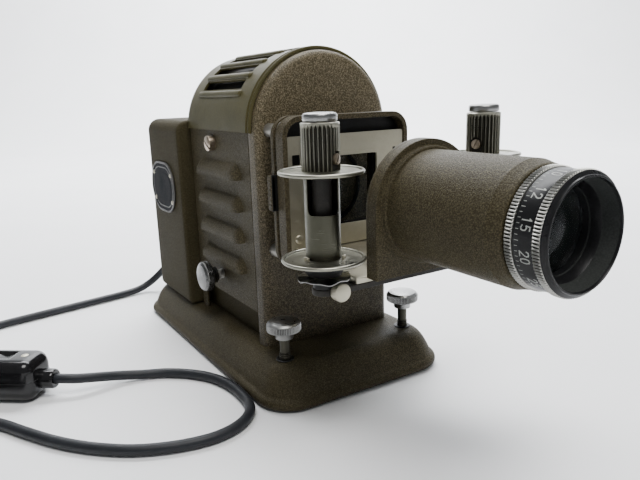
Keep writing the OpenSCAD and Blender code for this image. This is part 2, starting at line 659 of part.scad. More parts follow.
// in-line switch, lying along the cord
module switch_place() translate([-165.5, 8.3, 0]) rotate([0, 0, -37.8]) children();
module switch_body() color(blackc) switch_place() difference() {
  union() {
    translate([-1.5, 0, 0]) slab(49.6, 23.6, 6.3, 1.6, 21.8);
    translate([-1.5, 0, 0]) slab(46.6, 20.6, 4.8, 0.1, 23.3);
    translate([22, 0, 10]) rotate([0, 90, 0]) cylinder(r = 5.4, h = 9);
    translate([-33, 0, 10]) rotate([0, 90, 0]) cylinder(r = 5.4, h = 9);
  }
  translate([-34.5, 0, 10]) rotate([0, 90, 0]) cylinder(r = 3, h = 8);
  translate([26, 0, 10]) rotate([0, 90, 0]) cylinder(r = 3, h = 8);
  translate([-8.6, -4.4, 13.2]) cube([17.2, 8.8, 14]);
}
// the rocker rests tilted to one side
module switch_rocker() color(blackc) switch_place() translate([0, 0, 16.6]) rotate([0, 8, 0]) intersection() {
  translate([0, 4.1, 0]) rotate([90, 0, 0]) cylinder(r = 8, h = 8.2);
  translate([-10, -6, -1.2]) cube([20, 12, 8.6]);
}
// two-pin plug beside the coil
module plug_place() translate([-245.4, -77.4, 0]) rotate([0, 0, -70]) children();
module plug_body() color(blackc) plug_place() difference() {
  union() {
    translate([-6, 0, 9.6]) rotate([0, 90, 0]) cylinder(r1 = 3.6, r2 = 5.4, h = 18);
    hull() {
      translate([14, 0, 9.6]) rotate([0, 90, 0]) cylinder(r = 7, h = 1, $fn = 32);
      for (y = [-9, 9]) translate([24, y, 9.6]) rotate([0, 90, 0]) cylinder(r = 9.4, h = 12, $fn = 32);
    }
    translate([11, 0, 9.6]) rotate([0, 90, 0]) cylinder(r = 5.4, h = 4);
  }
  for (y = [-9.5, 9.5]) translate([30, y, 9.6]) rotate([0, 90, 0]) cylinder(r = 1.5, h = 10);
}
module plug_pins() color(nickel) plug_place() for (y = [-9.5, 9.5]) translate([30, y, 9.6]) {
  rotate([0, 90, 0]) cylinder(r = 1.5, h = 6.01);
  translate([6, 0, 0]) rotate([0, 90, 0]) cylinder(r = 2, h = 17);
  translate([23, 0, 0]) sphere(r = 2);
}

base_shell();
base_bottom_plate();
rubber_feet();
levelling_screw(-1);  // levelling_screw_left
levelling_screw(1);  // levelling_screw_right
levelling_pad(-1);  // levelling_pad_left
levelling_pad(1);  // levelling_pad_right
front_cowl();
chassis_frame();
rear_housing();
badge();
badge_rivets();
cable_gland();
transformer_core();
transformer_coil();
lamp_socket();
lamp_bulb();
reflector();
condenser_tube();
condenser_lenses();
lamp_cover();
vent_cover();
cover_screws();
side_knob();
side_clamp_pad();
stand_offs();
stage_rear_plate();
stage_frame();
gate_plate();
stage_screws();
stage_floor();
pressure_plate();
pressure_glass();
lens_mount();
lens_barrel();
focusing_sleeve();
lens_tube();
lens_rear_ring();
lens_front_ring();
lens_hood();
lens_elements();
spool_arms();
spool_spindles();
spool_cups();
spool_spring_washers();
spool_core(-1, -116);  // spool_left_core
spool_lower_flange(-1);  // spool_left_lower_flange
spool_upper_flange(-1);  // spool_left_upper_flange
spool_knob(-1, -61);  // spool_left_knob
spool_core(1, -131);  // spool_right_core
spool_lower_flange(1);  // spool_right_lower_flange
spool_upper_flange(1);  // spool_right_upper_flange
spool_knob(1, -162);  // spool_right_knob
cord_lead();
cord_tail();
cord_coil();
switch_body();
switch_rocker();
plug_body();
plug_pins();
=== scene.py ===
# Looks of the small film-strip projector: painted metal, plated parts, glass, cord.
import math
import random
import bpy
import bmesh
from math import sin, cos, pi, sqrt, radians
from mathutils import Vector, Matrix
from mathutils.geometry import tessellate_polygon


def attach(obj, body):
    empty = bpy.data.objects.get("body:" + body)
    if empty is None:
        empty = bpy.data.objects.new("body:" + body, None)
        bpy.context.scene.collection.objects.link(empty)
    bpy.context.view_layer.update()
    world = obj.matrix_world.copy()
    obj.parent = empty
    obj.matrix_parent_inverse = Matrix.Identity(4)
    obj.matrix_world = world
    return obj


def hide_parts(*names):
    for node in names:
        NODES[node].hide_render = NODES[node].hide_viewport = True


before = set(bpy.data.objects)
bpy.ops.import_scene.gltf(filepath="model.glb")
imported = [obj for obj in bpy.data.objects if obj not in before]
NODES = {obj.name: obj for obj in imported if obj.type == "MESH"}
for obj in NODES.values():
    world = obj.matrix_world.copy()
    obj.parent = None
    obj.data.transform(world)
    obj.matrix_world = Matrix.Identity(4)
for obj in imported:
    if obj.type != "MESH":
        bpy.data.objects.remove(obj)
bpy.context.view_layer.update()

scene = bpy.context.scene
S = 0.001
rnd = random.Random(11)

# ---------------------------------------------------------------- camera
cam_data = bpy.data.cameras.new("camera")
cam_data.lens = 34.50
cam_data.sensor_width = 36.0
cam_data.sensor_fit = "HORIZONTAL"
cam_data.clip_start = 0.01
cam_data.clip_end = 30.0
cam = bpy.data.objects.new("camera", cam_data)
scene.collection.objects.link(cam)
cr, cu_, cf = Vector((0.84591, -0.53246, -0.03047)), Vector((0.14944, 0.18179, 0.97192)), Vector((0.51196, 0.82671, -0.23334))
cam.matrix_world = Matrix(((cr.x, cu_.x, -cf.x, -0.1790), (cr.y, cu_.y, -cf.y, -0.3476), (cr.z, cu_.z, -cf.z, 0.1559), (0, 0, 0, 1)))
scene.camera = cam

# ---------------------------------------------------------------- dimensions, mm
AZ = 107.1            # optical axis
HR, SPRING = 41.0, 137.0
SX, SY, SZ = 46.3, -135.9, 88.4
UPZ = 124.2
KZ = 125.2
CORD_D = 5.4
CZ = CORD_D / 2 + 0.05


# ---------------------------------------------------------------- node material helpers
def new_mat(name):
    m = bpy.data.materials.new(name)
    m.use_nodes = True
    nt = m.node_tree
    nt.nodes.clear()
    out = nt.nodes.new("ShaderNodeOutputMaterial")
    b = nt.nodes.new("ShaderNodeBsdfPrincipled")
    nt.links.new(b.outputs[0], out.inputs[0])
    return m, nt, b


def node(nt, kind, **props):
    n = nt.nodes.new("ShaderNode" + kind)
    for k, v in props.items():
        setattr(n, k, v)
    return n


def coords(nt, scale=(1, 1, 1)):
    t = node(nt, "TexCoord")
    if scale == (1, 1, 1):
        return t.outputs["Object"]
    mp = node(nt, "Mapping")
    mp.inputs["Scale"].default_value = scale
    nt.links.new(t.outputs["Object"], mp.inputs["Vector"])
    return mp.outputs[0]


def noise_tex(nt, co, scale, detail=2.0, rough=0.5, distort=0.0):
    n = node(nt, "TexNoise")
    n.inputs["Scale"].default_value = scale
    n.inputs["Detail"].default_value = detail
    n.inputs["Roughness"].default_value = rough
    n.inputs["Distortion"].default_value = distort
    nt.links.new(co, n.inputs["Vector"])
    return n.outputs["Fac"]


def ramp(nt, fac, stops):
    r = node(nt, "ValToRGB")
    cr_ = r.color_ramp
    while len(cr_.elements) < len(stops):
        cr_.elements.new(0.5)
    for e, (p, c) in zip(cr_.elements, stops):
        e.position = p
        e.color = (c[0], c[1], c[2], 1.0) if hasattr(c, "__len__") else (c, c, c, 1.0)
    nt.links.new(fac, r.inputs[0])
    return r.outputs[0]


def mix(nt, fac, a, b, kind="MIX"):
    m = node(nt, "Mix", data_type="RGBA", blend_type=kind)
    for sock, v in ((m.inputs[0], fac), (m.inputs[6], a), (m.inputs[7], b)):
        if hasattr(v, "is_linked"):
            nt.links.new(v, sock)
        elif hasattr(v, "__len__"):
            sock.default_value = (v[0], v[1], v[2], 1.0)
        else:
            sock.default_value = v
    return m.outputs[2]


def calc(nt, op, a, b=None):
    m = node(nt, "Math", operation=op)
    for sock, v in ((m.inputs[0], a), (m.inputs[1], b)):
        if v is None:
            continue
        if hasattr(v, "is_linked"):
            nt.links.new(v, sock)
        else:
            sock.default_value = v
    return m.outputs[0]


def bump(nt, b, height, dist, strength=1.0):
    n = node(nt, "Bump")
    n.inputs["Strength"].default_value = strength
    n.inputs["Distance"].default_value = dist
    nt.links.new(height, n.inputs["Height"])
    nt.links.new(n.outputs[0], b.inputs["Normal"])
    return n


def dusty(nt, col, amount, tint=(0.42, 0.40, 0.35)):
    """A little dust on faces that look up."""
    g = node(nt, "NewGeometry")
    sep = node(nt, "SeparateXYZ")
    nt.links.new(g.outputs["Normal"], sep.inputs[0])
    up = ramp(nt, sep.outputs[2], [(0.55, 0.0), (1.0, 1.0)])
    spots = ramp(nt, noise_tex(nt, coords(nt), 42.0, 5.0, 0.65), [(0.35, 0.0), (0.75, 1.0)])
    f = calc(nt, "MULTIPLY", calc(nt, "MULTIPLY", up, spots), amount)
    return mix(nt, f, col, tint)


def enamel(name, low, high, grain=760.0, depth=0.00030, rough=0.5, dust=0.10, coat=0.0, spec=0.17, foot=None):
    """Wrinkle enamel: crests and hollows about a millimetre across.  The last argument, (low z, high z, factor), makes
    the colour darker towards the low z; that darkening is painted shade.
    """
    m, nt, b = new_mat(name)
    co = coords(nt)
    n1 = noise_tex(nt, co, grain, 2.5, 0.5, 0.6)
    v = node(nt, "TexVoronoi", feature="SMOOTH_F1")
    v.inputs["Scale"].default_value = grain * 0.62
    v.inputs["Smoothness"].default_value = 0.55
    nt.links.new(co, v.inputs["Vector"])
    crest = calc(nt, "SUBTRACT", n1, calc(nt, "MULTIPLY", v.outputs["Distance"], 0.35))
    c = ramp(nt, crest, [(0.26, low), (0.53, high)])
    big = ramp(nt, noise_tex(nt, co, 24.0, 3.0, 0.5), [(0.3, 0.93), (0.7, 1.04)])
    c = mix(nt, 1.0, c, big, "MULTIPLY")
    # painted shade: the colour darkens towards the low z
    if foot:
        sep = node(nt, "SeparateXYZ")
        nt.links.new(co, sep.inputs[0])
        k = ramp(nt, calc(nt, "MULTIPLY", sep.outputs[2], 5.0), [(foot[0] * 5.0, foot[2]), (foot[1] * 5.0, 1.0)])
        c = mix(nt, 1.0, c, k, "MULTIPLY")
    if dust:
        c = dusty(nt, c, dust)
    nt.links.new(c, b.inputs["Base Color"])
    r = ramp(nt, n1, [(0.3, rough + 0.12), (0.7, rough - 0.10)])
    nt.links.new(r, b.inputs["Roughness"])
    b.inputs["Specular IOR Level"].default_value = spec
    b.inputs["Coat Weight"].default_value = coat
    b.inputs["Coat Roughness"].default_value = 0.25
    bump(nt, b, crest, depth)
    return m


def satin(name, low, high, rough=0.34, peel=0.00003, spec=0.5, dust=0.05):
    """Smooth enamel with a slight orange peel, fine specks and rubbed patches."""
    m, nt, b = new_mat(name)
    co = coords(nt)
    c = ramp(nt, noise_tex(nt, co, 36.0, 5.0, 0.6), [(0.3, low), (0.72, high)])
    sp = ramp(nt, noise_tex(nt, co, 1500.0, 2.0, 0.6), [(0.38, 0.82), (0.62, 1.06)])
    c = mix(nt, 1.0, c, sp, "MULTIPLY")
    if dust:
        c = dusty(nt, c, dust)
    nt.links.new(c, b.inputs["Base Color"])
    nt.links.new(ramp(nt, noise_tex(nt, co, 60.0, 4.0, 0.6), [(0.3, rough - 0.05), (0.7, rough + 0.08)]), b.inputs["Roughness"])
    b.inputs["Specular IOR Level"].default_value = spec
    bump(nt, b, noise_tex(nt, co, 620.0, 2.0, 0.5), peel)
    return m


def plated(name, colour, dark, rough=0.2, scratch=(60, 60, 2600), aniso=0.0, spots=0.35):
    """Plated metal with fine turning lines, dull spots and a little tarnish."""
    m, nt, b = new_mat(name)
    b.inputs["Metallic"].default_value = 1.0
    co = coords(nt)
    tarnish = ramp(nt, noise_tex(nt, co, 60.0, 4.0, 0.6), [(0.45, 0.0), (0.80, 1.0)])
    c = mix(nt, calc(nt, "MULTIPLY", tarnish, spots), colour, dark)
    nt.links.new(c, b.inputs["Base Color"])
    lines = noise_tex(nt, coords(nt, scratch), 1.0, 3.0, 0.6)
    r = calc(nt, "ADD", ramp(nt, lines, [(0.25, rough - 0.05), (0.75, rough + 0.10)]), calc(nt, "MULTIPLY", tarnish, 0.16))
    nt.links.new(r, b.inputs["Roughness"])
    b.inputs["Anisotropic"].default_value = aniso
    bump(nt, b, lines, 0.000012, 0.6)
    return m


def moulded(name, low, high, rough=0.2, spec=0.5, grain=900.0, depth=0.00001, coat=0.0):
    """Moulded plastic or rubber."""
    m, nt, b = new_mat(name)
    co = coords(nt)
    nt.links.new(ramp(nt, noise_tex(nt, co, 55.0, 5.0, 0.6), [(0.3, low), (0.75, high)]), b.inputs["Base Color"])
    nt.links.new(ramp(nt, noise_tex(nt, co, 130.0, 5.0, 0.65), [(0.3, max(0.03, rough - 0.06)), (0.75, rough + 0.12)]), b.inputs["Roughness"])
    b.inputs["Specular IOR Level"].default_value = spec
    b.inputs["Coat Weight"].default_value = coat
    b.inputs["Coat Roughness"].default_value = 0.08
    bump(nt, b, noise_tex(nt, co, grain, 3.0, 0.55), depth)
    return m


def glass(name, tint, rough=0.02, coat=(0.5, 0.55, 0.9)):
    """Coated optical glass with faint smears."""
    m, nt, b = new_mat(name)
    b.inputs["Transmission Weight"].default_value = 1.0
    b.inputs["IOR"].default_value = 1.22
    co = coords(nt)
    nt.links.new(ramp(nt, noise_tex(nt, co, 45.0, 4.0, 0.6), [(0.3, tint), (0.8, tuple(t * 0.93 for t in tint))]), b.inputs["Base Color"])
    nt.links.new(ramp(nt, noise_tex(nt, co, 90.0, 5.0, 0.7), [(0.45, rough), (0.85, rough + 0.10)]), b.inputs["Roughness"])
    b.inputs["Specular Tint"].default_value = (coat[0], coat[1], coat[2], 1.0)
    return m


M = {
    "wrinkle": enamel("wrinkle_enamel", (0.029, 0.0240, 0.0125), (0.080, 0.0670, 0.0380), 2300.0, 0.00019, 0.52, 0.02, 0.0, 0.10),
    # front cowl: a lighter copy of the wrinkle enamel, painted light on the front of the arch, and darker towards its
    # foot as painted shade
    "wrinkle_front_painted_light": enamel("wrinkle_enamel_front_painted_light", (0.050, 0.0405, 0.0215), (0.200, 0.1640, 0.1010), 2100.0, 0.00030, 0.42, 0.02, 0.0, 0.18, (0.075, 0.135, 0.52)),
    "wrinkle_stage": enamel("wrinkle_enamel_stage", (0.030, 0.0245, 0.0130), (0.100, 0.0820, 0.0500), 2200.0, 0.00024, 0.46, 0.02, 0.0, 0.11),
    "housing": enamel("housing_enamel", (0.031, 0.0260, 0.0135), (0.051, 0.0435, 0.0240), 2400.0, 0.00008, 0.62, 0.02, 0.0, 0.04),
    "olive": satin("olive_satin", (0.053, 0.0475, 0.0205), (0.070, 0.0620, 0.0270), 0.40, 0.00003, 0.09, 0.02),
    "black_paint": satin("black_satin", (0.006, 0.006, 0.006), (0.012, 0.0115, 0.011), 0.40, 0.00002, 0.25, 0.0),
    "inside": satin("inside_dark", (0.010, 0.009, 0.008), (0.028, 0.025, 0.020), 0.62, 0.00004, 0.3, 0.0),
    "nickel": plated("aged_nickel", (0.44, 0.415, 0.330), (0.30, 0.275, 0.205), 0.37, (900, 900, 900), 0.0, 0.4),
    "nickel_turned": plated("turned_nickel", (0.28, 0.274, 0.228), (0.19, 0.184, 0.148), 0.28, (60, 60, 2600), 0.0, 0.35),
    "chrome": plated("bright_chrome", (0.27, 0.27, 0.265), (0.17, 0.168, 0.16), 0.26, (60, 60, 2600), 0.0, 0.3),
    # a darker copy of the chrome for the side knob: painted shade on the shaded side
    "chrome_side_shaded": plated("chrome_side_painted_shade", (0.15, 0.15, 0.147), (0.09, 0.089, 0.085), 0.24, (2600, 60, 60), 0.0, 0.4),
    # a darker copy of the spool nickel for the core tube: painted shade between the flanges
    "core_metal_shaded": plated("core_nickel_painted_shade", (0.070, 0.069, 0.052), (0.050, 0.049, 0.036), 0.30, (60, 60, 2600), 0.0, 0.4),
    # dark nickel for the flutes and knurl valleys; on the levelling-screw stems it is painted shade
    "flute": plated("flute_nickel", (0.055, 0.053, 0.042), (0.035, 0.033, 0.026), 0.40, (300, 300, 300), 0.0, 0.4),
    "chrome_y": plated("bright_chrome_ring", (0.36, 0.355, 0.33), (0.22, 0.215, 0.19), 0.32, (60, 2600, 60), 0.0, 0.4),
    "worn": plated("worn_nickel", (0.40, 0.335, 0.26), (0.22, 0.175, 0.13), 0.30, (500, 500, 500), 0.0, 0.6),
    "steel": plated("dull_steel", (0.36, 0.35, 0.32), (0.17, 0.155, 0.13), 0.42, (500, 500, 500), 0.0, 0.5),
    "reflector": plated("polished_reflector", (0.80, 0.80, 0.80), (0.5, 0.5, 0.5), 0.06, (300, 300, 300), 0.0, 0.15),
    "brass": plated("turned_brass", (0.60, 0.45, 0.20), (0.30, 0.21, 0.09), 0.26, (60, 60, 2000), 0.2, 0.4),
    "copper": plated("varnished_copper", (0.50, 0.22, 0.09), (0.26, 0.10, 0.04), 0.32, (40, 40, 3000), 0.2, 0.3),
    "rubber": moulded("foot_rubber", (0.018, 0.018, 0.018), (0.034, 0.033, 0.032), 0.7, 0.3, 1400.0, 0.00004),
    "cord": moulded("cord_rubber", (0.0085, 0.0095, 0.0120), (0.016, 0.0175, 0.021), 0.46, 0.28, 700.0, 0.00003),
    "bakelite": moulded("black_bakelite", (0.0045, 0.0045, 0.005), (0.009, 0.0088, 0.0092), 0.16, 0.35, 500.0, 0.000006, 0.0),
    "porcelain": moulded("glazed_porcelain", (0.66, 0.63, 0.56), (0.76, 0.73, 0.67), 0.14, 0.5, 500.0, 0.00001, 0.3),
    "badge": satin("badge_enamel", (0.014, 0.0150, 0.017), (0.029, 0.0300, 0.033), 0.62, 0.00010, 0.03, 0.0),
    "badge_rim": plated("badge_rim", (0.095, 0.092, 0.088), (0.05, 0.048, 0.045), 0.42, (700, 700, 700), 0.0, 0.6),
    "black_ring": satin("black_ring", (0.006, 0.006, 0.0065), (0.011, 0.011, 0.012), 0.30, 0.000015, 0.20, 0.0),
    "hood_in": satin("hood_inside", (0.026, 0.0280, 0.0268), (0.031, 0.0333, 0.0320), 0.9, 0.00001, 0.06, 0.0),
    "mark": satin("engraved_grey", (0.26, 0.27, 0.25), (0.36, 0.37, 0.35), 0.5, 0.00001, 0.4, 0.0),
    "glass": glass("lens_glass", (0.80, 0.84, 0.84), 0.03, (0.35, 0.38, 0.45)),
    "glass_plain": glass("window_glass", (0.92, 0.95, 0.94), 0.03, (1.0, 1.0, 1.0)),
    "tie": moulded("tie_black", (0.012, 0.012, 0.012), (0.028, 0.028, 0.027), 0.5, 0.4, 1500.0, 0.00003),
}


# ---------------------------------------------------------------- mesh helpers
REPLACED = set()


def register(ob, body, nodes=()):
    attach(ob, body)
    if nodes:
        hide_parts(*nodes)
        REPLACED.update(nodes)
    return ob


def mesh_object(name, verts, faces, material, angle=38.0, scale=S, weld=0.0):
    me = bpy.data.meshes.new(name)
    me.from_pydata([(v[0] * scale, v[1] * scale, v[2] * scale) for v in verts], [], [f for f in faces if len(set(f)) > 2])
    bm = bmesh.new()
    bm.from_mesh(me)
    if weld:
        bmesh.ops.remove_doubles(bm, verts=bm.verts, dist=weld * scale)
    bmesh.ops.recalc_face_normals(bm, faces=bm.faces)
    bm.to_mesh(me)
    bm.free()
    for m in material if isinstance(material, (list, tuple)) else [material]:
        me.materials.append(m)
    me.shade_smooth()
    if angle is not None:
        me.set_sharp_from_angle(angle=radians(angle))
    ob = bpy.data.objects.new(name, me)
    scene.collection.objects.link(ob)
    return ob


def bake(ob):
    dg = bpy.context.evaluated_depsgraph_get()
    me = bpy.data.meshes.new_from_object(ob.evaluated_get(dg))
    ob.modifiers.clear()
    ob.data = me
    return ob


def bevelled(ob, width, segments=3, angle=30.0, bake_it=True):
    """Rounds the edges and keeps the flats flat."""
    ob.data.shade_smooth()
    b = ob.modifiers.new("edge", "BEVEL")
    b.width = width * S
    b.segments = segments
    b.limit_method = "ANGLE"
    b.angle_limit = radians(angle)
    b.use_clamp_overlap = True
    b.miter_outer = "MITER_ARC"
    w = ob.modifiers.new("flat", "WEIGHTED_NORMAL")
    w.keep_sharp = True
    w.weight = 80
    return bake(ob) if bake_it else ob


def loft(rings, closed=True, cap0=False, cap1=False):
    """Faces between rings of the same number of points."""
    n = len(rings[0])
    verts = [p for r in rings for p in r]
    faces = []
    for i in range(len(rings) - 1):
        for k in range(n if closed else n - 1):
            k2 = (k + 1) % n
            faces.append((i * n + k, i * n + k2, (i + 1) * n + k2, (i + 1) * n + k))
    if cap0:
        faces.append(tuple(range(n))[::-1])
    if cap1:
        faces.append(tuple((len(rings) - 1) * n + k for k in range(n)))
    return verts, faces


def place_z(cx, cy):
    return lambda r, t, a: (cx + r * cos(a), cy + r * sin(a), t)


def place_y(r, t, a):
    return (r * cos(a), t, AZ + r * sin(a))


def place_x(cy, cz):
    return lambda r, t, a: (t, cy + r * cos(a), cz + r * sin(a))


def lathe(name, prof, place, material, seg=96, wave=None, angle=38.0, ring_closed=False):
    """prof is a list of (radius, position[, depth of the wave]); wave(a) runs from 0 to 1."""
    verts, faces, rows = [], [], []
    for p in prof:
        r, t = p[0], p[1]
        d = p[2] if len(p) > 2 else 0.0
        if r < 1e-6:
            rows.append([len(verts)])
            verts.append(place(0.0, t, 0.0))
        else:
            row = []
            for k in range(seg):
                a = 2 * pi * k / seg
                rr = r - (d * wave(a) if d and wave else 0.0)
                row.append(len(verts))
                verts.append(place(rr, t, a))
            rows.append(row)
    pairs = list(zip(rows, rows[1:]))
    if ring_closed:
        pairs.append((rows[-1], rows[0]))
    for p, q in pairs:
        for k in range(seg):
            k2 = (k + 1) % seg
            if len(p) == 1 and len(q) == 1:
                continue
            if len(p) == 1:
                faces.append((p[0], q[k2], q[k]))
            elif len(q) == 1:
                faces.append((p[k], p[k2], q[0]))
            else:
                faces.append((p[k], p[k2], q[k2], q[k]))
    return mesh_object(name, verts, faces, material, angle)


def rrect(w, l, r, nc=8, cx=0.0, cy=0.0):
    """Rounded rectangle, anticlockwise."""
    pts = []
    r = max(r, 0.02)
    for sx, sy, a0 in ((1, 1, 0), (-1, 1, 90), (-1, -1, 180), (1, -1, 270)):
        for k in range(nc + 1):
            a = radians(a0 + 90.0 * k / nc)
            pts.append((cx + sx * (w / 2 - r) + r * cos(a), cy + sy * (l / 2 - r) + r * sin(a)))
    return pts


def circle(r, n=48, cx=0.0, cy=0.0):
    return [(cx + r * cos(2 * pi * k / n), cy + r * sin(2 * pi * k / n)) for k in range(n)]


def prism(name, loops, t0, t1, place, material, bevel=0.3, segments=3, angle=30.0):
    """An outline with holes, made solid between t0 and t1, with rounded edges."""
    flat = [p for l in loops for p in l]
    n = len(flat)
    tris = tessellate_polygon([[Vector((u, v, 0)) for u, v in l] for l in loops])
    verts = [place(u, v, t0) for u, v in flat] + [place(u, v, t1) for u, v in flat]
    faces = [tuple(t) for t in tris] + [tuple(i + n for i in t[::-1]) for t in tris]
    o = 0
    for l in loops:
        k = len(l)
        for i in range(k):
            j = (i + 1) % k
            faces.append((o + i, o + j, n + o + j, n + o + i))
        o += k
    ob = mesh_object(name, verts, faces, material, None)
    bm = bmesh.new()
    bm.from_mesh(ob.data)
    bmesh.ops.dissolve_limit(bm, angle_limit=radians(0.5), verts=bm.verts, edges=bm.edges)
    bm.to_mesh(ob.data)
    bm.free()
    if bevel:
        bevelled(ob, bevel, segments, angle)
    return ob


def box_piece(name, lo, hi, material, bevel=0.3, segments=3):
    place = lambda u, v, t: (u, v, t)
    return prism(name, [[(lo[0], lo[1]), (hi[0], lo[1]), (hi[0], hi[1]), (lo[0], hi[1])]], lo[2], hi[2], place, material, bevel, segments)


XZ = lambda u, v, t: (u, t, v)


def turned(place, loc, rot):
    """Moves a placed point: rot is a 3x3 matrix, loc is in mm."""
    return lambda *a: tuple(rot @ Vector(place(*a)) + Vector(loc))


def tube_along(name, pts, r, material, seg=12, cyclic=False, cap=True):
    """A round wire through the points."""
    P = [Vector(p) for p in pts]
    n = len(P)
    rings = []
    up = None
    for i in range(n):
        a = P[(i - 1) % n] if cyclic or i else P[0]
        b = P[(i + 1) % n] if cyclic or i < n - 1 else P[-1]
        t = (b - a).normalized()
        if up is None:
            up = t.orthogonal().normalized()
        s = t.cross(up).normalized()
        up = s.cross(t).normalized()
        rings.append([tuple(P[i] + r * (cos(2 * pi * k / seg) * s + sin(2 * pi * k / seg) * up)) for k in range(seg)])
    v, f = loft(rings + ([rings[0]] if cyclic else []), True, cap and not cyclic, cap and not cyclic)
    return mesh_object(name, v, f, material, 60.0, S, 0.001 if cyclic else 0.0)

# ---------------------------------------------------------------- mains cord
GX, GZ = -26.0, 31.0
lead = [(GX, 113.9, GZ), (GX, 118, 30.8), (-26.8, 125, 28.4), (-29.5, 132.5, 22.5), (-35, 138.5, 14.5),
        (-43, 141.5, 7.5), (-53, 141, 3.6), (-66, 138.4, CZ), (-84, 135, CZ), (-103, 131.6, CZ), (-130, 127, CZ), (-157, 121.8, CZ),
        (-178, 114, CZ), (-196, 100, CZ), (-206, 80, CZ), (-206.5, 58, CZ), (-201, 40.9, 5.6), (-191.6, 28.5, 9.9), (-187.2, 25.1, 10)]
tail = [(-144.2, -8.2, 10), (-138.6, -12.4, 9.9), (-131.5, -15.8, 9.2), (-121.5, -16.4, 7.4), (-109.5, -16, 4.8),
        (-97, -18.8, 3), (-84.1, -24.8, CZ), (-72.2, -36, CZ), (-64.6, -48.5, CZ), (-61.2, -62, CZ), (-60.8, -75.5, CZ),
        (-62.4, -86.5, CZ), (-67.6, -95.4, CZ), (-76.4, -101.6, CZ), (-87.5, -104.2, CZ), (-99, -103, CZ), (-111, -99.2, CZ),
        (-122.9, -93.1, CZ), (-133.2, -85, CZ), (-142.8, -75.3, CZ), (-152, -63.5, CZ), (-161.3, -48.5, CZ), (-172, -30.5, CZ),
        (-187, -12.5, CZ), (-207, -2.2, CZ), (-228, -3.4, CZ), (-243.7, -14.6, CZ)]
COIL = (-222.0, -46.0)


def smooth(p, n):
    """Catmull-Rom through the points."""
    out = []
    for i in range(len(p) - 1):
        a, b, c, d = (Vector(p[max(0, min(len(p) - 1, j))]) for j in (i - 1, i, i + 1, i + 2))
        for k in range(n):
            t = k / n
            out.append(0.5 * ((2 * b) + (c - a) * t + (2 * a - 5 * b + 4 * c - d) * t * t + (3 * b - a - 3 * c + d) * t ** 3))
    out.append(Vector(p[-1]))
    return out


def ease(x):
    x = max(0.0, min(1.0, x))
    return x * x * (3 - 2 * x)


def length_of(p):
    return sum((p[i + 1] - p[i]).length for i in range(len(p) - 1))


# six runs of the coil, two wide and three high, each crossing over a little before the last one did
RO, RI = 32.75, 27.25
Z1, Z2, Z3 = 3.2, 8.65, 14.1
cells = [(RO, Z1), (RI, Z1), (RI, Z2), (RI, Z3), (RO, Z3), (RO, Z2)]
START = 124.6


def coil_point(phi):
    r, z = cells[0]
    for k in range(1, 6):
        f = ease((phi - (360.0 * k - 60.0 * (k - 1)) + 30.0) / 60.0)
        r += f * (cells[k][0] - cells[k - 1][0])
        z += f * (cells[k][1] - cells[k - 1][1])
    f = 1 - ease(phi / 75.0)
    r += f * (38.1 - RO)
    z += (1 - ease(phi / 40.0)) * (CZ - Z1)
    a = radians(START + phi)
    return Vector((COIL[0] + r * cos(a), COIL[1] + r * sin(a), z))


PLUG_O, PLUG_A = Vector((-245.4, -77.4, 0)), radians(-70)
pd = Vector((cos(PLUG_A), sin(PLUG_A), 0))
coil = [coil_point(p) for p in range(6, 1869, 6)]
e0 = coil[-1]
plug_in = PLUG_O + pd * 1.0 + Vector((0, 0, 9.6))
run_out = [e0.lerp(plug_in, t) for t in (0.35, 0.7, 1.0)]
lead_p = smooth(lead, 6)
tail_p = smooth(tail, 6)[:-1] + coil + run_out


def cord_curve(name, pts):
    cu = bpy.data.curves.new(name, "CURVE")
    cu.dimensions = "3D"
    sp = cu.splines.new("POLY")
    sp.points.add(len(pts) - 1)
    for q, p in zip(sp.points, pts):
        q.co = (p.x * S, p.y * S, p.z * S, 1.0)
    sp.use_smooth = True
    cu.bevel_depth = CORD_D / 2 * S
    cu.bevel_resolution = 5
    cu.use_fill_caps = True
    cu.materials.append(M["cord"])
    ob = bpy.data.objects.new(name, cu)
    scene.collection.objects.link(ob)
    return ob


cord_a = register(cord_curve("cord_lead_run", lead_p), "projector", ("cord_lead",))
cord_b = register(cord_curve("cord_tail_run", tail_p), "projector", ("cord_tail", "cord_coil"))

# the tie round the coil
tie_a = radians(START + 190)
tie_pts = []
for k in range(48):
    a = 2 * pi * k / 48
    u, w = cos(a), sin(a)
    hx, hz = 5.75 + 0.55, 8.65 + 0.25
    x = hx * (abs(u) ** 0.55) * (1 if u > 0 else -1)
    z = hz * (abs(w) ** 0.55) * (1 if w > 0 else -1)
    tie_pts.append((x, z))
tv, tf = [], []
for j, (dy, g) in enumerate(((-2.2, 0.0), (-2.0, 0.28), (2.0, 0.28), (2.2, 0.0), (2.0, -0.1), (-2.0, -0.1))):
    for x, z in tie_pts:
        s = 1 + g / 7.0
        q = Vector((30.0 + x * s, dy, max(0.06, 8.72 + z * s)))
        c, s_ = cos(tie_a), sin(tie_a)
        tv.append((COIL[0] + q.x * c - q.y * s_, COIL[1] + q.x * s_ + q.y * c, q.z))
for j in range(6):
    for k in range(48):
        j2, k2 = (j + 1) % 6, (k + 1) % 48
        tf.append((j * 48 + k, j * 48 + k2, j2 * 48 + k2, j2 * 48 + k))
tie = register(mesh_object("coil_tie", tv, tf, M["tie"], 50.0), "projector")


# in-line switch: two moulded halves with a seam, screws, collars and a rocker
SW_A = radians(-37.8)
SWR = Matrix.Rotation(SW_A, 3, "Z")
SWO = (-165.5, 8.3, 0)


def sw(v):
    return tuple(SWR @ Vector(v) + Vector(SWO))


def pill_ring(x, hw, z0, z1, r, nc=8):
    return [(x, p[0], p[1]) for p in rrect(2 * hw, z1 - z0, r, nc, 0, (z0 + z1) / 2)]


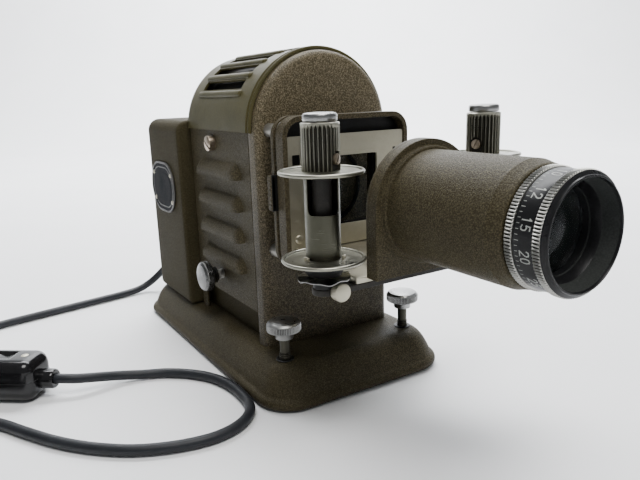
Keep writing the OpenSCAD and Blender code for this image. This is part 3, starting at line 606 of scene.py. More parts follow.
def rounded_block(x0, x1, hw, z0, z1, re, r, steps=8):
    """A block along X whose ends round off by re."""
    rings = []
    for i in range(steps + 1):
        a = pi / 2 * i / steps
        d = re * (1 - sin(a))
        rings.append(pill_ring(x0 + re * (1 - cos(a)), hw - d, z0 + d, z1 - d, max(0.4, r - d * 0.6)))
    for f in (0.2, 0.4, 0.6, 0.8):
        rings.append(pill_ring(x0 + re + (x1 - x0 - 2 * re) * f, hw, z0, z1, r))
    for i in range(steps, -1, -1):
        a = pi / 2 * i / steps
        d = re * (1 - sin(a))
        rings.append(pill_ring(x1 - re * (1 - cos(a)), hw - d, z0 + d, z1 - d, max(0.4, r - d * 0.6)))
    return rings


sv, sf = loft(rounded_block(-26.3, 23.3, 11.8, 0.15, 23.2, 6.0, 6.2), True, True, True)
switch_shell = mesh_object("switch_shell", [sw(v) for v in sv], sf, M["bakelite"], 60.0)
# the well for the rocker
well = box_piece("well_tool", (-8.7, -4.5, 13.0), (8.7, 4.5, 30.0), M["bakelite"], 0.0)
well.data.transform(Matrix.Translation(Vector(SWO) * S) @ SWR.to_4x4())
bo = switch_shell.modifiers.new("well", "BOOLEAN")
bo.operation = "DIFFERENCE"
bo.object = well
bo.solver = "EXACT"
bake(switch_shell)
bpy.data.objects.remove(well)
register(switch_shell, "projector", ("switch_body",))


def place_local(rot, loc, inner):
    return lambda *a: tuple(rot @ Vector(inner(*a)) + Vector(loc))


along_x = lambda r, t, a: (t, r * cos(a), 10.0 + r * sin(a))
for s, x0, x1 in ((1, 22.0, 31.0), (-1, -24.0, -33.0)):
    prof = [(4.2, x0), (5.1, x0 + s * 0.5), (5.35, x0 + s * 3.4), (5.35, x0 + s * 7.6), (5.1, x0 + s * 8.5), (4.6, x1), (3.0, x1), (2.95, x1 - s * 4)]
    b = lathe("switch_collar_" + ("a" if s > 0 else "b"), prof, place_local(SWR, SWO, along_x), M["bakelite"], 48)
    register(b, "projector")
# seam line round the shell: a thin dark bead standing just proud
seam = [sw((x, y, 11.8)) for x, y in rrect(49.7, 23.7, 6.2, 10, -1.5, 0)]
register(tube_along("switch_seam", seam, 0.16, M["black_paint"], 8, True), "projector")
for i, x in enumerate((-18.0, 15.0)):
    pr = [(0, 23.2 + 0.35), (1.2, 23.5), (1.9, 23.3), (2.1, 22.9), (2.1, 22.0)]
    b = lathe("switch_screw_%d" % i, pr, place_local(SWR, SWO, lambda r, t, a, x=x: (x + r * cos(a), r * sin(a), t)), M["nickel"], 32)
    register(b, "projector")
# rocker: a saddle that rests tilted
tilt = Matrix.Rotation(radians(8), 3, "Y")
prof = []
for k in range(25):
    x = -7.75 + 15.5 * k / 24
    top = 5.3 + 1.5 * (abs(x) / 7.75) ** 2.0
    top = min(top, sqrt(max(0.0, 63.5 - x * x)) if abs(x) < 7.9 else 0)
    prof.append((x, top))
outline = [(-7.75, -1.2), (7.75, -1.2)] + prof[::-1]
rk = prism("switch_rocker_cap", [outline], -3.9, 3.9, lambda u, v, t: tuple(SWR @ (tilt @ Vector((u, t, v)) + Vector((0, 0, 16.6))) + Vector(SWO)), M["bakelite"], 0.35, 3, 40)
register(rk, "rocker", ("switch_rocker",))
for i in range(5):
    x = -5.6 + 0.75 * i
    zt = 5.3 + 1.5 * (abs(x) / 7.75) ** 2.0
    a, b = Vector((x, -3.0, zt + 0.02)), Vector((x, 3.0, zt + 0.02))
    pts = [tuple(SWR @ (tilt @ a.lerp(b, t) + Vector((0, 0, 16.6))) + Vector(SWO)) for t in (0, 0.25, 0.5, 0.75, 1)]
    r_ = register(tube_along("rocker_rib_%d" % i, pts, 0.22, M["bakelite"], 8), "rocker")

# two-pin plug: waisted body with finger grips, ribbed sleeve
PR = Matrix.Rotation(PLUG_A, 3, "Z")
rings = []
for x, hw, hz in ((12.6, 4.6, 4.6), (14.0, 7.0, 6.4), (16.5, 10.2, 7.4), (20.0, 14.4, 8.4), (23.0, 17.2, 9.0), (25.0, 18.1, 9.35), (27.5, 17.7, 9.3),
                   (30.0, 17.3, 9.2), (33.0, 17.9, 9.3), (35.0, 18.1, 9.2), (35.8, 17.6, 8.8), (36.0, 16.9, 8.2)):
    rings.append([tuple(PR @ Vector((x, p[0], p[1])) + PLUG_O) for p in rrect(2 * hw, 2 * hz, hz * 0.97, 10, 0, 9.6)])
v, f = loft(rings, True, True, True)
plug = register(mesh_object("plug_shell", v, f, M["bakelite"], 50.0), "projector", ("plug_body",))
sleeve_prof = [(2.75, -6.0), (3.5, -6.0), (3.7, -5.6)]
for k in range(6):
    x = -5.0 + 2.7 * k
    g = 3.75 + 0.24 * k
    sleeve_prof += [(g, x), (g, x + 1.5), (g - 0.75, x + 1.75), (g - 0.75, x + 2.35), (g + 0.2, x + 2.6)]
sleeve_prof += [(5.2, 11.4), (5.4, 13.0)]
sleeve = lathe("plug_sleeve", sleeve_prof, place_local(PR, PLUG_O, lambda r, t, a: (t, r * cos(a), 9.6 + r * sin(a))), M["rubber"], 40, None, 30.0)
register(sleeve, "projector")
for i in range(3):
    x = 26.2 + 2.0 * i
    for s in (-1, 1):
        pts = [tuple(PR @ Vector((x, s * (17.72 + 0.1), 9.6 + z)) + PLUG_O) for z in (-3.5, -1.7, 0, 1.7, 3.5)]
        b = register(tube_along("plug_grip_%d_%s" % (i, "l" if s < 0 else "r"), pts, 0.35, M["bakelite"], 8), "projector")
b = lathe("plug_screw", [(0, 19.2), (1.6, 19.15), (2.2, 18.9), (2.4, 18.4), (2.4, 17.6)],
          place_local(PR, PLUG_O, lambda r, t, a: (29.5 + r * cos(a), r * sin(a), t)), M["nickel"], 32)
register(b, "projector")

print("cord lengths", length_of(lead_p), length_of(tail_p))


# ---------------------------------------------------------------- cast base
prof = [(1.9, 0.8), (1.0, 1.1), (0.4, 1.7), (0.08, 2.5), (0.0, 3.3), (0.1, 4.1), (0.45, 4.9), (1.0, 5.55), (1.7, 6.05), (2.35, 6.45), (2.8, 6.95),
        (3.15, 7.8), (3.55, 9.0), (4.2, 10.8), (5.1, 12.9), (6.1, 14.9), (7.2, 16.6), (8.4, 18.1), (9.7, 19.3), (11.2, 20.25), (13.0, 20.95), (15.0, 21.3), (17.0, 21.4)]
corner = [(0, 20), (2, 18), (3, 17), (5.5, 16), (8.5, 14), (11.5, 12), (15.5, 9), (18, 7.5)]


def lerp_table(tab, x):
    for (a, b), (c, d) in zip(tab, tab[1:]):
        if x <= c:
            return b + (d - b) * (x - a) / (c - a)
    return tab[-1][1]


rings = []
for d, z in prof:
    rings.append([(p[0], p[1], z) for p in rrect(114.6 - 2 * d, 210 - 2 * d, lerp_table(corner, d), 14)])
v, f = loft(rings, True, True, True)
base = register(mesh_object("base_casting", v, f, M["wrinkle"], 50.0), "projector", ("base_shell",))
# black collar round each levelling-screw stem where it enters the base: its black is painted shade of the hole
for s in (-1, 1):
    b = lathe("base_hole_shade_" + ("l" if s < 0 else "r"), [(3.0, 20.6), (3.0, 21.75), (3.3, 21.95), (4.3, 21.95), (4.7, 21.7), (4.8, 21.3)],
              place_z(s * 39.3, -83.8), M["black_paint"], 48)
    register(b, "projector")

# ---------------------------------------------------------------- front cowl


def arch_ring(R, z0, y, nside=10, narc=56):
    pts = []
    for k in range(nside):
        pts.append((-R, y, z0 + (SPRING - z0) * k / nside))
    for k in range(narc + 1):
        a = pi - pi * k / narc
        pts.append((R * cos(a), y, SPRING + R * sin(a)))
    for k in range(1, nside + 1):
        pts.append((R, y, SPRING - (SPRING - z0) * k / nside))
    return pts


rings = []
for k in range(10):
    a = pi / 2 * k / 9
    rings.append(arch_ring(HR - 4.0 * (1 - sin(a)), 21.3, -67.4 + 4.2 * (1 - cos(a))))
rings.append(arch_ring(HR, 21.3, -60.5))
rings.append(arch_ring(HR, 21.3, -57.9))
rings.append(arch_ring(HR - 0.25, 21.3, -57.55))
rings.append(arch_ring(HR - 0.7, 21.3, -57.5))
rings.append(arch_ring(HR - 2.4, 21.3, -57.5))
rings.append(arch_ring(HR - 2.4, 21.3, -65.0))
v, f = loft(rings, True, False, True)
# the front cowl takes the lighter enamel copy: painted light, with painted shade at its foot
cowl = mesh_object("front_cowl_shell", v, f, M["wrinkle_front_painted_light"], 60.0)
# the front face as a fine sheet, so it keeps a flat shade
n = len(rings[0])
face = mesh_object("front_cowl_face", rings[0], [tuple(range(n))], M["wrinkle_front_painted_light"], None)
register(cowl, "projector", ("front_cowl",))
register(face, "projector")

# ---------------------------------------------------------------- lifting cover with pressed louvres
Y0, Y1 = -57.2, 25.0
LZ = [120 - 17.5 * k for k in range(4)]
LY0, LY1, LR, LH, LB = -46.0, 13.3, 8.0, 8.6, 4.0


def louvre_h(y):
    """Height of the pressed part at y, 0 outside it."""
    if y <= LY0 or y >= LY1:
        return 0.0
    d = 0.0
    if y < LY0 + LR:
        d = (LY0 + LR - y) / LR
    elif y > LY1 - LR:
        d = (y - LY1 + LR) / LR
    return LH * sqrt(max(0.0, 1 - d * d))


def bulge(y, z):
    for zt in LZ:
        if zt - LH - 1e-6 <= z <= zt:
            H = louvre_h(y)
            if H < 0.05:
                return 0.0
            t = (H - (z - (zt - LH))) / H
            if t <= 0:
                return 0.0
            t = min(1.0, t)
            g = 1 - (1 - t) ** 2.6
            s = ease(t / 0.16) * 0.45 + 0.55 if t < 0.16 else 1.0
            return LB * g * s * (H / LH) ** 0.6
    return 0.0


ys = [Y0, Y0 + 0.5]
y = -56.0
while y < LY0 - 0.5:
    ys.append(y)
    y += 2.5
k = 0
while LY0 + k * 0.7 < LY0 + LR:
    ys.append(LY0 + k * 0.7)
    k += 1
y = LY0 + LR
while y < LY1 - LR:
    ys.append(y)
    y += 2.6
k = 0
while LY1 - LR + k * 0.7 < LY1:
    ys.append(LY1 - LR + k * 0.7)
    k += 1
ys += [LY1, LY1 + 0.6, 17.0, 19, 21.5, Y1 - 0.5, Y1]
GAP_Z = 39.4
zs = [(21.6, 0), (30.0, 0)]
z = GAP_Z
bands = []
for zt in LZ[::-1]:
    bot = zt - LH
    m = max(2, int((bot - z) / 3.0))
    zs += [(z + (bot - z) * i / m, 0) for i in range(m)]
    zs.append((bot, 0))      # flat sheet under the mouth
    zs.append((bot, 1))      # lip above the mouth
    for i in range(1, 14):
        zs.append((bot + LH * i / 14.0, 1))
    z = zt
zs += [(z + (SPRING - z) * i / 6.0, 1) for i in range(6)]


def side_grid(sgn):
    verts, faces, idx = [], [], {}
    for i, (z, kind) in enumerate(zs):
        for j, y in enumerate(ys):
            h = 0.0
            at_mouth = any(abs(z - (zt - LH)) < 1e-6 for zt in LZ)
            if at_mouth:
                h = bulge(y, z + 1e-7) if kind == 1 else 0.0
            else:
                h = bulge(y, z)
            idx[i, j] = len(verts)
            zz = z - (0.45 * h / LB if at_mouth and kind == 1 else 0.0)
            verts.append((sgn * (HR + h), y, zz))
    for i in range(len(zs) - 1):
        for j in range(len(ys) - 1):
            if abs(zs[i][0] - zs[i + 1][0]) < 1e-9:
                continue
            if zs[i][0] < GAP_Z - 0.1 and ys[j] < 16.9:
                continue
            faces.append((idx[i, j], idx[i, j + 1], idx[i + 1, j + 1], idx[i + 1, j]))
    # where there is no bulge the sheet runs on
    for i in range(len(zs) - 1):
        if abs(zs[i][0] - zs[i + 1][0]) < 1e-9:
            for j in range(len(ys)):
                if (Vector(verts[idx[i, j]]) - Vector(verts[idx[i + 1, j]])).length < 1e-4:
                    old, new = idx[i + 1, j], idx[i, j]
                    faces[:] = [tuple(new if q == old else q for q in fc) for fc in faces]
    return verts, faces


def cover_mesh():
    allv, allf = [], []
    for sgn in (-1, 1):
        v, f = side_grid(sgn)
        o = len(allv)
        allv += v
        allf += [tuple(q + o for q in (fc if sgn > 0 else fc[::-1])) for fc in f]
    # the arch
    o = len(allv)
    narc = 64
    for k in range(narc + 1):
        a = pi * k / narc
        for y in ys:
            allv.append((HR * cos(a), y, SPRING + HR * sin(a)))
    m = len(ys)
    for k in range(narc):
        a = pi * (k + 0.5) / narc
        inside = HR * sin(a) > 20.0
        for j in range(m - 1):
            ym = (ys[j] + ys[j + 1]) / 2
            if inside and -43 < ym < 12:
                continue
            allf.append((o + k * m + j, o + (k + 1) * m + j, o + (k + 1) * m + j + 1, o + k * m + j + 1))
    # joins between the sides and the arch
    top = len(zs) - 1
    for sgn, row in ((-1, narc), (1, 0)):
        base_i = (0 if sgn < 0 else len(zs) * m) + top * m
        for j in range(m - 1):
            allf.append((base_i + j, base_i + j + 1, o + row * m + j + 1, o + row * m + j))
    return allv, allf


v, f = cover_mesh()
cover = mesh_object("lamp_cover_sheet", v, f, [M["wrinkle"], M["inside"]], None, S, 0.01)
so = cover.modifiers.new("sheet", "SOLIDIFY")
so.thickness = 1.1 * S
so.offset = -1.0
so.use_even_offset = False
so.use_quality_normals = True
so.material_offset = 1
so.material_offset_rim = 0
bake(cover)
bmx = bmesh.new()
bmx.from_mesh(cover.data)
vol = bmx.calc_volume(signed=True)
bmx.free()
cover.data.shade_smooth()
cover.data.set_sharp_from_angle(angle=radians(42))
register(cover, "cover", ("lamp_cover",))
print("cover volume", vol)

# ---------------------------------------------------------------- vent cover: ribbed band with slots
RV, RVI = 42.3, 41.02
BARS = [28 + 15.5 * k for k in range(9)]
VY0, VY1 = -62.7, 25.4
SLOT0, SLOT1, SHALF = -42.0, 11.0, 2.9


def vent_sheet():
    """Outer skin of the band with openings between the bars."""
    angs = [0.0, 4, 8, 12, 16, 20, 24, 28]
    for k in range(8):
        c = 28 + (k + 0.5) * 15.5
        w = math.degrees(SHALF / RV)
        angs += [c - w - 1.2, c - w, c - w / 2, c, c + w / 2, c + w, c + w + 1.2, 28 + (k + 1) * 15.5]
    angs += [156, 160, 164, 168, 172, 176, 180]
    yy = [VY1, VY1 - 0.6, 22, 18, 15, 12.6, SLOT1, SLOT1 - 0.8, SLOT1 - 2.2, 0, -10, -20, -30, SLOT0 + 2.2, SLOT0 + 0.8, SLOT0, -43.6, -46, -50, -54, -56.9, -57.3]
    yy = sorted(set(yy))
    rows = []
    verts, faces, idx = [], [], {}
    for i, a in enumerate(angs):
        ar = radians(a)
        for j, y in enumerate(yy):
            r = RV
            if y in (yy[-1],):
                r = RV - 0.35
            idx[i, j] = len(verts)
            verts.append((-r * cos(ar), y, SPRING + r * sin(ar)))
    for i in range(len(angs) - 1):
        am = (angs[i] + angs[i + 1]) / 2
        for j in range(len(yy) - 1):
            ym = (yy[j] + yy[j + 1]) / 2
            hole = False
            if SLOT0 < ym < SLOT1:
                for k in range(8):
                    c = 28 + (k + 0.5) * 15.5
                    w = math.degrees(SHALF / RV)
                    if abs(am - c) < w:
                        hole = True
            if not hole:
                faces.append((idx[i, j], idx[i + 1, j], idx[i + 1, j + 1], idx[i, j + 1]))
    return verts, faces


v, f = vent_sheet()
vent = mesh_object("vent_band", v, f, [M["olive"], M["inside"]], None)
so = vent.modifiers.new("sheet", "SOLIDIFY")
so.thickness = 1.2 * S
so.offset = -1.0
so.material_offset = 1
so.material_offset_rim = 0
bake(vent)
vent.data.shade_smooth()
vent.data.set_sharp_from_angle(angle=radians(40))
register(vent, "cover", ("vent_cover",))
# front part with two beads, which laps over the cowl
bead = [(-62.7, 41.45), (-62.7, 42.3), (-62.6, 42.75), (-62.3, 43.05), (-61.9, 43.15), (-61.5, 43.0), (-61.25, 42.65), (-61.15, 42.2), (-60.95, 41.85), (-60.3, 41.75), (-59.75, 41.85), (-59.5, 42.2),
        (-59.4, 42.65), (-59.15, 43.0), (-58.75, 43.15), (-58.35, 43.0), (-58.05, 42.65), (-57.95, 42.35), (-57.6, 42.3), (-57.2, 42.3), (-57.2, 41.45)]
rings = []
angs = [180.0 * k / 72 for k in range(73)]
path = [("a", a) for a in angs]
for p in path:
    ring = []
    for y, r in bead:
        if p[0] == "s":
            ring.append((p[1] * r, y, SPRING + p[2]))
        else:
            a = radians(180 - p[1])
            ring.append((r * cos(a), y, SPRING + r * sin(a)))
    rings.append(ring)
v, f = loft(rings, True, True, True)
register(mesh_object("vent_front_bead", v, f, M["olive"], 45.0), "cover")


def vent_bar(name, deg, r_bar=1.5):
    """A raised rounded lip with domed ends."""
    a = radians(180 - deg)
    rings = []
    y0, y1 = -45.0, 14.0
    stations = []
    for k in range(7):
        t = pi / 2 * k / 6
        stations.append((y0 + 1.9 * (1 - cos(t)), max(0.03, sin(t))))
    for k in range(1, 8):
        stations.append((y0 + 1.9 + (y1 - y0 - 3.8) * k / 8.0, 1.0))
    for k in range(6, -1, -1):
        t = pi / 2 * k / 6
        stations.append((y1 - 1.9 * (1 - cos(t)), max(0.03, sin(t))))
    for y, s in stations:
        ring = []
        for k in range(20):
            b = 2 * pi * k / 20
            # a little wider than high
            u = (2.05 * s) * cos(b)
            w = (1.5 * s) * sin(b)
            rr = RV - 0.15 + w
            da = u / RV
            ring.append((rr * cos(a + da), y, SPRING + rr * sin(a + da)))
        rings.append(ring)
    v, f = loft(rings, True, True, True)
    return register(mesh_object(name, v, f, M["olive"], 60.0), "cover")


for k, d in enumerate(BARS):
    vent_bar("vent_bar_%d" % (k + 1), d)


def lip_strip(name, deg0, side):
    """The folded edge of a slot, which turns down into the housing."""
    w = math.degrees(SHALF / RV)
    rings = []
    for y in (SLOT0, SLOT0 + 3, -20, 0, SLOT1 - 3, SLOT1):
        ring = []
        for r, da in ((RV, 0.0), (RV - 0.5, -side * 0.35), (RV - 3.6, -side * 0.9), (RV - 3.6, -side * 0.5 + side * 0.9), (RV - 0.8, side * 0.7), (RV, side * 0.9)):
            a = radians(180 - (deg0 + side * 0.0) - da)
            ring.append((r * cos(a), y, SPRING + r * sin(a)))
        rings.append(ring)
    v, f = loft(rings, True, True, True)
    return register(mesh_object(name, v, f, M["olive"], 40.0), "cover")


for k in range(8):
    c = 28 + (k + 0.5) * 15.5
    w = math.degrees(SHALF / RV)
    lip_strip("vent_lip_a_%d" % (k + 1), c - w, -1)
# baffle under the slots
rings = []
for k in range(33):
    a = radians(24 + 132.0 * k / 32)
    rings.append([(-r * cos(a), y, SPRING + r * sin(a)) for y, r in ((-46, 37.4), (-12, 37.0), (14, 36.6), (15.5, 39.75), (16.5, 39.75), (15, 36.0), (-12, 36.4), (-46, 36.8))])
v, f = loft(rings, True, True, True)
register(mesh_object("vent_baffle", v, f, M["inside"], 40.0), "cover")

# ---------------------------------------------------------------- rear housing


def housing_ring(y, d, rt, rb, zt=141.7, zb=21.4, w=49.3, nc=10):
    pts = []
    for sx, sz, a0, r in ((1, 1, 0, rt), (-1, 1, 90, rt), (-1, -1, 180, rb), (1, -1, 270, rb)):
        cx = sx * (w - d - r)
        cz = (zt - d - r) if sz > 0 else (zb + d + r)
        for k in range(nc + 1):
            a = radians(a0 + 90.0 * k / nc)
            pts.append((cx + r * cos(a), y, cz + r * sin(a)))
    return pts


rings = []
for k in range(7):
    a = pi / 2 * k / 6
    d = 2.2 * (1 - sin(a))
    rings.append(housing_ring(27.0 + 2.6 * (1 - cos(a)), d, max(0.5, 8 - d), max(0.5, 4 - d)))
for y in (34, 45, 60, 75):
    rings.append(housing_ring(y, 0, 8, 4))
for k in range(12):
    a = pi / 2 * k / 11
    d = 8 * (1 - cos(a))
    rings.append(housing_ring(84 + 8 * sin(a), min(d, 7.9), max(0.1, 8 - d), max(0.1, min(4, 8 - d))))
v, f = loft(rings, True, True, False)
housing = mesh_object("rear_housing_shell", v, f, M["housing"], 50.0)
register(housing, "projector", ("rear_housing",))
# rear face with its slots
loops = [[(p[0], p[2]) for p in rings[-1]]]
back_loops = [loops[0]] + [[(x + q[0], 110 + q[1]) for q in rrect(5, 28, 2.2, 6)][::-1] for x in range(-30, 31, 10)]
rear_face = prism("rear_housing_back", back_loops, 90.6, 92.0, XZ, M["housing"], 0.0)
for p in rear_face.data.polygons:
    p.use_smooth = abs(p.normal.y) < 0.9
register(rear_face, "projector")
# dark sheet just behind the rear slots: painted shade inside the housing
well = box_piece("rear_housing_shade_sheet", (-40, 88.2, 90), (40, 88.8, 130), M["inside"], 0.2, 2)
register(well, "projector")

# ---------------------------------------------------------------- badge, rivets, dome screws
def badge_outline(d, n=20):
    """Oval plate, the long way is the first number."""
    pts = []
    rr, c = 17 - d, 6.0
    for k in range(n + 1):
        a = -pi / 2 + pi * k / n
        pts.append((c + rr * cos(a), rr * sin(a)))
    for k in range(n + 1):
        a = pi / 2 + pi * k / n
        pts.append((-c + rr * cos(a), rr * sin(a)))
    return pts


side_plate = lambda u, v, t: (-49.3 - t, 61.0 + u, 97.0 + v)
register(prism("badge_plate", [badge_outline(0.6)], -0.1, 0.75, side_plate, M["badge"], 0.15, 2), "projector", ("badge",))
register(prism("badge_rim", [badge_outline(0), badge_outline(1.3)[::-1]], -0.1, 1.25, side_plate, M["badge_rim"], 0.3, 3), "projector")
register(prism("badge_line", [badge_outline(3.4), badge_outline(4.1)[::-1]], 0.5, 0.98, side_plate, M["badge_rim"], 0.1, 2), "projector")
register(prism("badge_field", [badge_outline(7.2)], 0.5, 0.95, side_plate, M["badge"], 0.15, 2), "projector")
i = 0
for su in (-1, 1):
    for sv in (-1, 1):
        i += 1
        dome = [(0, -50.95), (0.5, -50.92), (1.0, -50.75), (1.35, -50.4), (1.45, -50.05), (1.45, -49.8)]
        b = lathe("badge_rivet_%d" % i, dome, place_x(61 + su * 16.9, 97 + sv * 8.9), M["nickel"], 28)
        register(b, "projector", ("badge_rivets",) if i == 1 else ())


def slotted_dome(name, place, r, h, slot_w, material, body, seg=48, turn=0.0, nodes=(), side=0.3):
    """place(r, t, a): t runs out of the surface. The slot is cut straight across."""
    prof_ = [(0.0, h)]
    for k in range(1, 9):
        a = pi / 2 * k / 9
        prof_.append((r * sin(a), h * (side + 0.12 + (0.88 - side) * cos(a))))
    prof_ += [(r, h * side), (r, -0.1)]
    ob = lathe(name, prof_, place, material, seg)
    # cut
    L, W = r * 1.2, slot_w / 2
    pts = [(-L, -W), (L, -W), (L, W), (-L, W)]
    rot = lambda u, v: (u * cos(turn) - v * sin(turn), u * sin(turn) + v * cos(turn))
    vs, fs = [], []
    for t in (h * (0.55 if side < 0.5 else 0.66), h * 1.4):
        for u, v in pts:
            q = rot(u, v)
            vs.append(place(sqrt(q[0] ** 2 + q[1] ** 2), t, math.atan2(q[1], q[0])))
    fs = [(0, 1, 2, 3), (4, 5, 6, 7), (0, 1, 5, 4), (1, 2, 6, 5), (2, 3, 7, 6), (3, 0, 4, 7)]
    tool = mesh_object(name + "_tool", vs, fs, material, None)
    bo = ob.modifiers.new("slot", "BOOLEAN")
    bo.operation = "DIFFERENCE"
    bo.object = tool
    bo.solver = "EXACT"
    bake(ob)
    bpy.data.objects.remove(tool)
    ob.data.shade_smooth()
    ob.data.set_sharp_from_angle(angle=radians(35))
    return register(ob, body, nodes)


# the two dome screws on the sides of the cover
for s in (-1, 1):
    pl = lambda r, t, a, s=s: (s * (41.0 + t), -9.8 + r * cos(a), 129.4 + r * sin(a))
    slotted_dome("dome_screw_" + ("l" if s < 0 else "r"), pl, 4.45, 4.35, 1.0, M["worn"], "cover", 56, radians(38), ("cover_screws",) if s < 0 else (), 0.66)

# ---------------------------------------------------------------- thumbscrew heads


def thumb(name, place, material, teeth=64):
    """Collar, knurled rim, bevel and slightly domed top; t runs away from the work."""
    def wave(a):
        x = (a * teeth / (2 * pi)) % 1.0
        return abs(2 * x - 1) ** 1.5
    prof_ = [(2.9, -0.2), (4.2, -0.2), (4.65, 0.0), (4.8, 0.4), (4.8, 3.4), (5.0, 3.75), (7.6, 3.9), (8.3, 4.0), (8.75, 4.25, 0.2), (8.98, 4.6, 0.42), (9.0, 4.9, 0.5),
             (9.0, 7.5, 0.5), (8.98, 7.8, 0.42), (8.8, 8.1, 0.2), (8.72, 8.25), (8.6, 8.35), (7.9, 9.05), (7.55, 9.32), (7.2, 9.42), (6.9, 9.42), (6.7, 9.52), (5.5, 9.75), (3.5, 10.02), (1.2, 10.16), (0, 10.18)]
    return lathe(name, prof_, place, material, teeth * 6, wave, 42.0)


def dull_valleys(ob, axis_of):
    """The bottoms of the knurls get the dull second material."""
    ob.data.materials.append(M["flute"])
    for p in ob.data.polygons:
        t, r = axis_of(p.center / S)
        if 4.8 < t < 7.7 and 8.0 < r < 8.76:
            p.material_index = 1


for s, nm in ((-1, "left"), (1, "right")):
    pl = place_z(s * 39.3, -83.8)
    b = thumb("thumb_head_" + nm, lambda r, t, a, pl=pl: pl(r, t + 33.0, a), M["chrome"])
    dull_valleys(b, lambda c, s=s: (c.z - 33.0, math.hypot(c.x - s * 39.3, c.y + 83.8)))
    register(b, "screw_" + nm, ("levelling_screw_" + nm,))
    # threaded stem; its dark flute nickel is painted shade, as the stem stands in the shadow of the head
    prof_ = [(0, 4.4), (2.3, 4.4), (2.9, 5.0)]
    z = 5.4
    while z < 24.6:
        prof_ += [(2.93, z), (2.55, z + 0.35), (2.93, z + 0.7)]
        z += 1.0
    prof_ += [(2.6, 25.2), (2.6, 32.6), (2.6, 33.2)]
    b = lathe("thumb_stem_" + nm, prof_, pl, M["flute"], 40, None, 30.0)
    register(b, "screw_" + nm)
plx = place_x(-11.7, 51.2)
# the side knob takes the darker chrome copy: painted shade
b = thumb("thumb_head_side", lambda r, t, a: plx(r, -(45.6 + t), a), M["chrome_side_shaded"])
dull_valleys(b, lambda c: (-c.x - 45.6, math.hypot(c.y + 11.7, c.z - 51.2)))
register(b, "side_knob", ("side_knob",))
prof_ = [(0, -36.5), (2.3, -36.5), (2.9, -37.0)]
x = 37.4
while x < 44.6:
    prof_ += [(2.93, -x), (2.55, -x - 0.35), (2.93, -x - 0.7)]
    x += 1.0
prof_ += [(2.6, -45.2), (2.6, -45.8)]
register(lathe("thumb_stem_side", prof_, plx, M["steel"], 40, None, 30.0), "side_knob")

# ---------------------------------------------------------------- film stage
sq = lambda w, r: rrect(w, w, r, 10, 0, AZ)
frame_tex = M["wrinkle_stage"]
ob = prism("stage_back", [sq(76.6, 10), sq(40, 2)[::-1]], -79.7, -76.7, XZ, frame_tex, 0.9, 4)
register(ob, "projector", ("stage_rear_plate",))
for i, (sx, sz) in enumerate(((-1, -1), (-1, 1), (1, -1), (1, 1))):
    b = lathe("stage_spacer_%d" % (i + 1), [(0, -79.5), (4, -79.5), (4, -82.3), (0, -82.3)], lambda r, t, a, sx=sx, sz=sz: (sx * 32 + r * cos(a), t, AZ + sz * 32 + r * sin(a)), M["steel"], 40)
    register(b, "projector")
# front frame: a tray with a raised wall
ob = prism("stage_tray_wall", [sq(76.6, 10), sq(71.4, 7.6)[::-1]], -89.5, -82.2, XZ, frame_tex, 0.8, 4)
register(ob, "projector", ("stage_frame",))
ob = prism("stage_tray_floor", [sq(75, 9.2), sq(39, 1.5)[::-1]], -83.7, -82.3, XZ, M["black_paint"], 0.2, 2)
register(ob, "projector")

# plated gate plate with its window, folded sides, and holes
hole = lambda x, z, r, n=24: [(x + r * cos(-2 * pi * k / n), z + r * sin(-2 * pi * k / n)) for k in range(n)]
outer = rrect(70.6, 57, 1.2, 6, 0, AZ + 0.2)
win = rrect(35.4, 35.4, 0.6, 4, 0, AZ)[::-1]
loops = [outer, win]
for s in (-1, 1):
    loops.append(hole(s * 30.8, 84.9, 1.25))
    loops.append(rrect(4.4, 5.0, 0.3, 3, s * 30.8, 124.4)[::-1])
ob = prism("gate_sheet", loops, -88.7, -87.9, XZ, M["nickel"], 0.12, 2)
register(ob, "projector", ("gate_plate",))
for s in (-1, 1):
    b = box_piece("gate_fold_" + ("l" if s < 0 else "r"), (s * 34.8 - 0.5, -88.5, 80), (s * 34.8 + 0.5, -83.7, 134), M["nickel"], 0.35, 3)
    register(b, "projector")
# pressed rim round the window, which guides the film
ob = prism("gate_rim", [rrect(38.4, 38.4, 1.6, 6, 0, AZ), rrect(35.6, 35.6, 0.7, 4, 0, AZ)[::-1]], -89.05, -88.5, XZ, M["nickel"], 0.22, 3)
register(ob, "projector")
for s in (-1, 1):
    pl = lambda r, t, a, s=s: (s * 30.8 + r * cos(a), -88.7 - t, 84.9 + r * sin(a))
    slotted_dome("gate_screw_" + ("l" if s < 0 else "r"), pl, 2.3, 1.15, 0.55, M["nickel"], "projector", 36, radians(25 + 50 * s), ("stage_screws",) if s < 0 else ())
b = lathe("arm_clamp_pin", [(0, -145.2), (3.4, -145.2), (3.9, -145.0), (4.05, -144.6), (4.05, -141.8), (4.05, -141.45), (0, -141.45)], lambda r, t, a: (-43 + r * cos(a), t, 74.2 + r * sin(a)), M["nickel"], 48)
register(b, "projector")

# floor of the stage
ob = box_piece("stage_floor_plate", (-33.8, -141.9, 75.4), (33.8, -83.7, 78.2), M["nickel"], 0.45, 3)
register(ob, "projector", ("stage_floor",))
for s in (-1, 1):
    b = box_piece("stage_floor_edge_" + ("l" if s < 0 else "r"), (s * 33.2 - 0.6, -124, 78.0), (s * 33.2 + 0.6, -90, 81.2), M["nickel"], 0.4, 3)
    register(b, "projector")
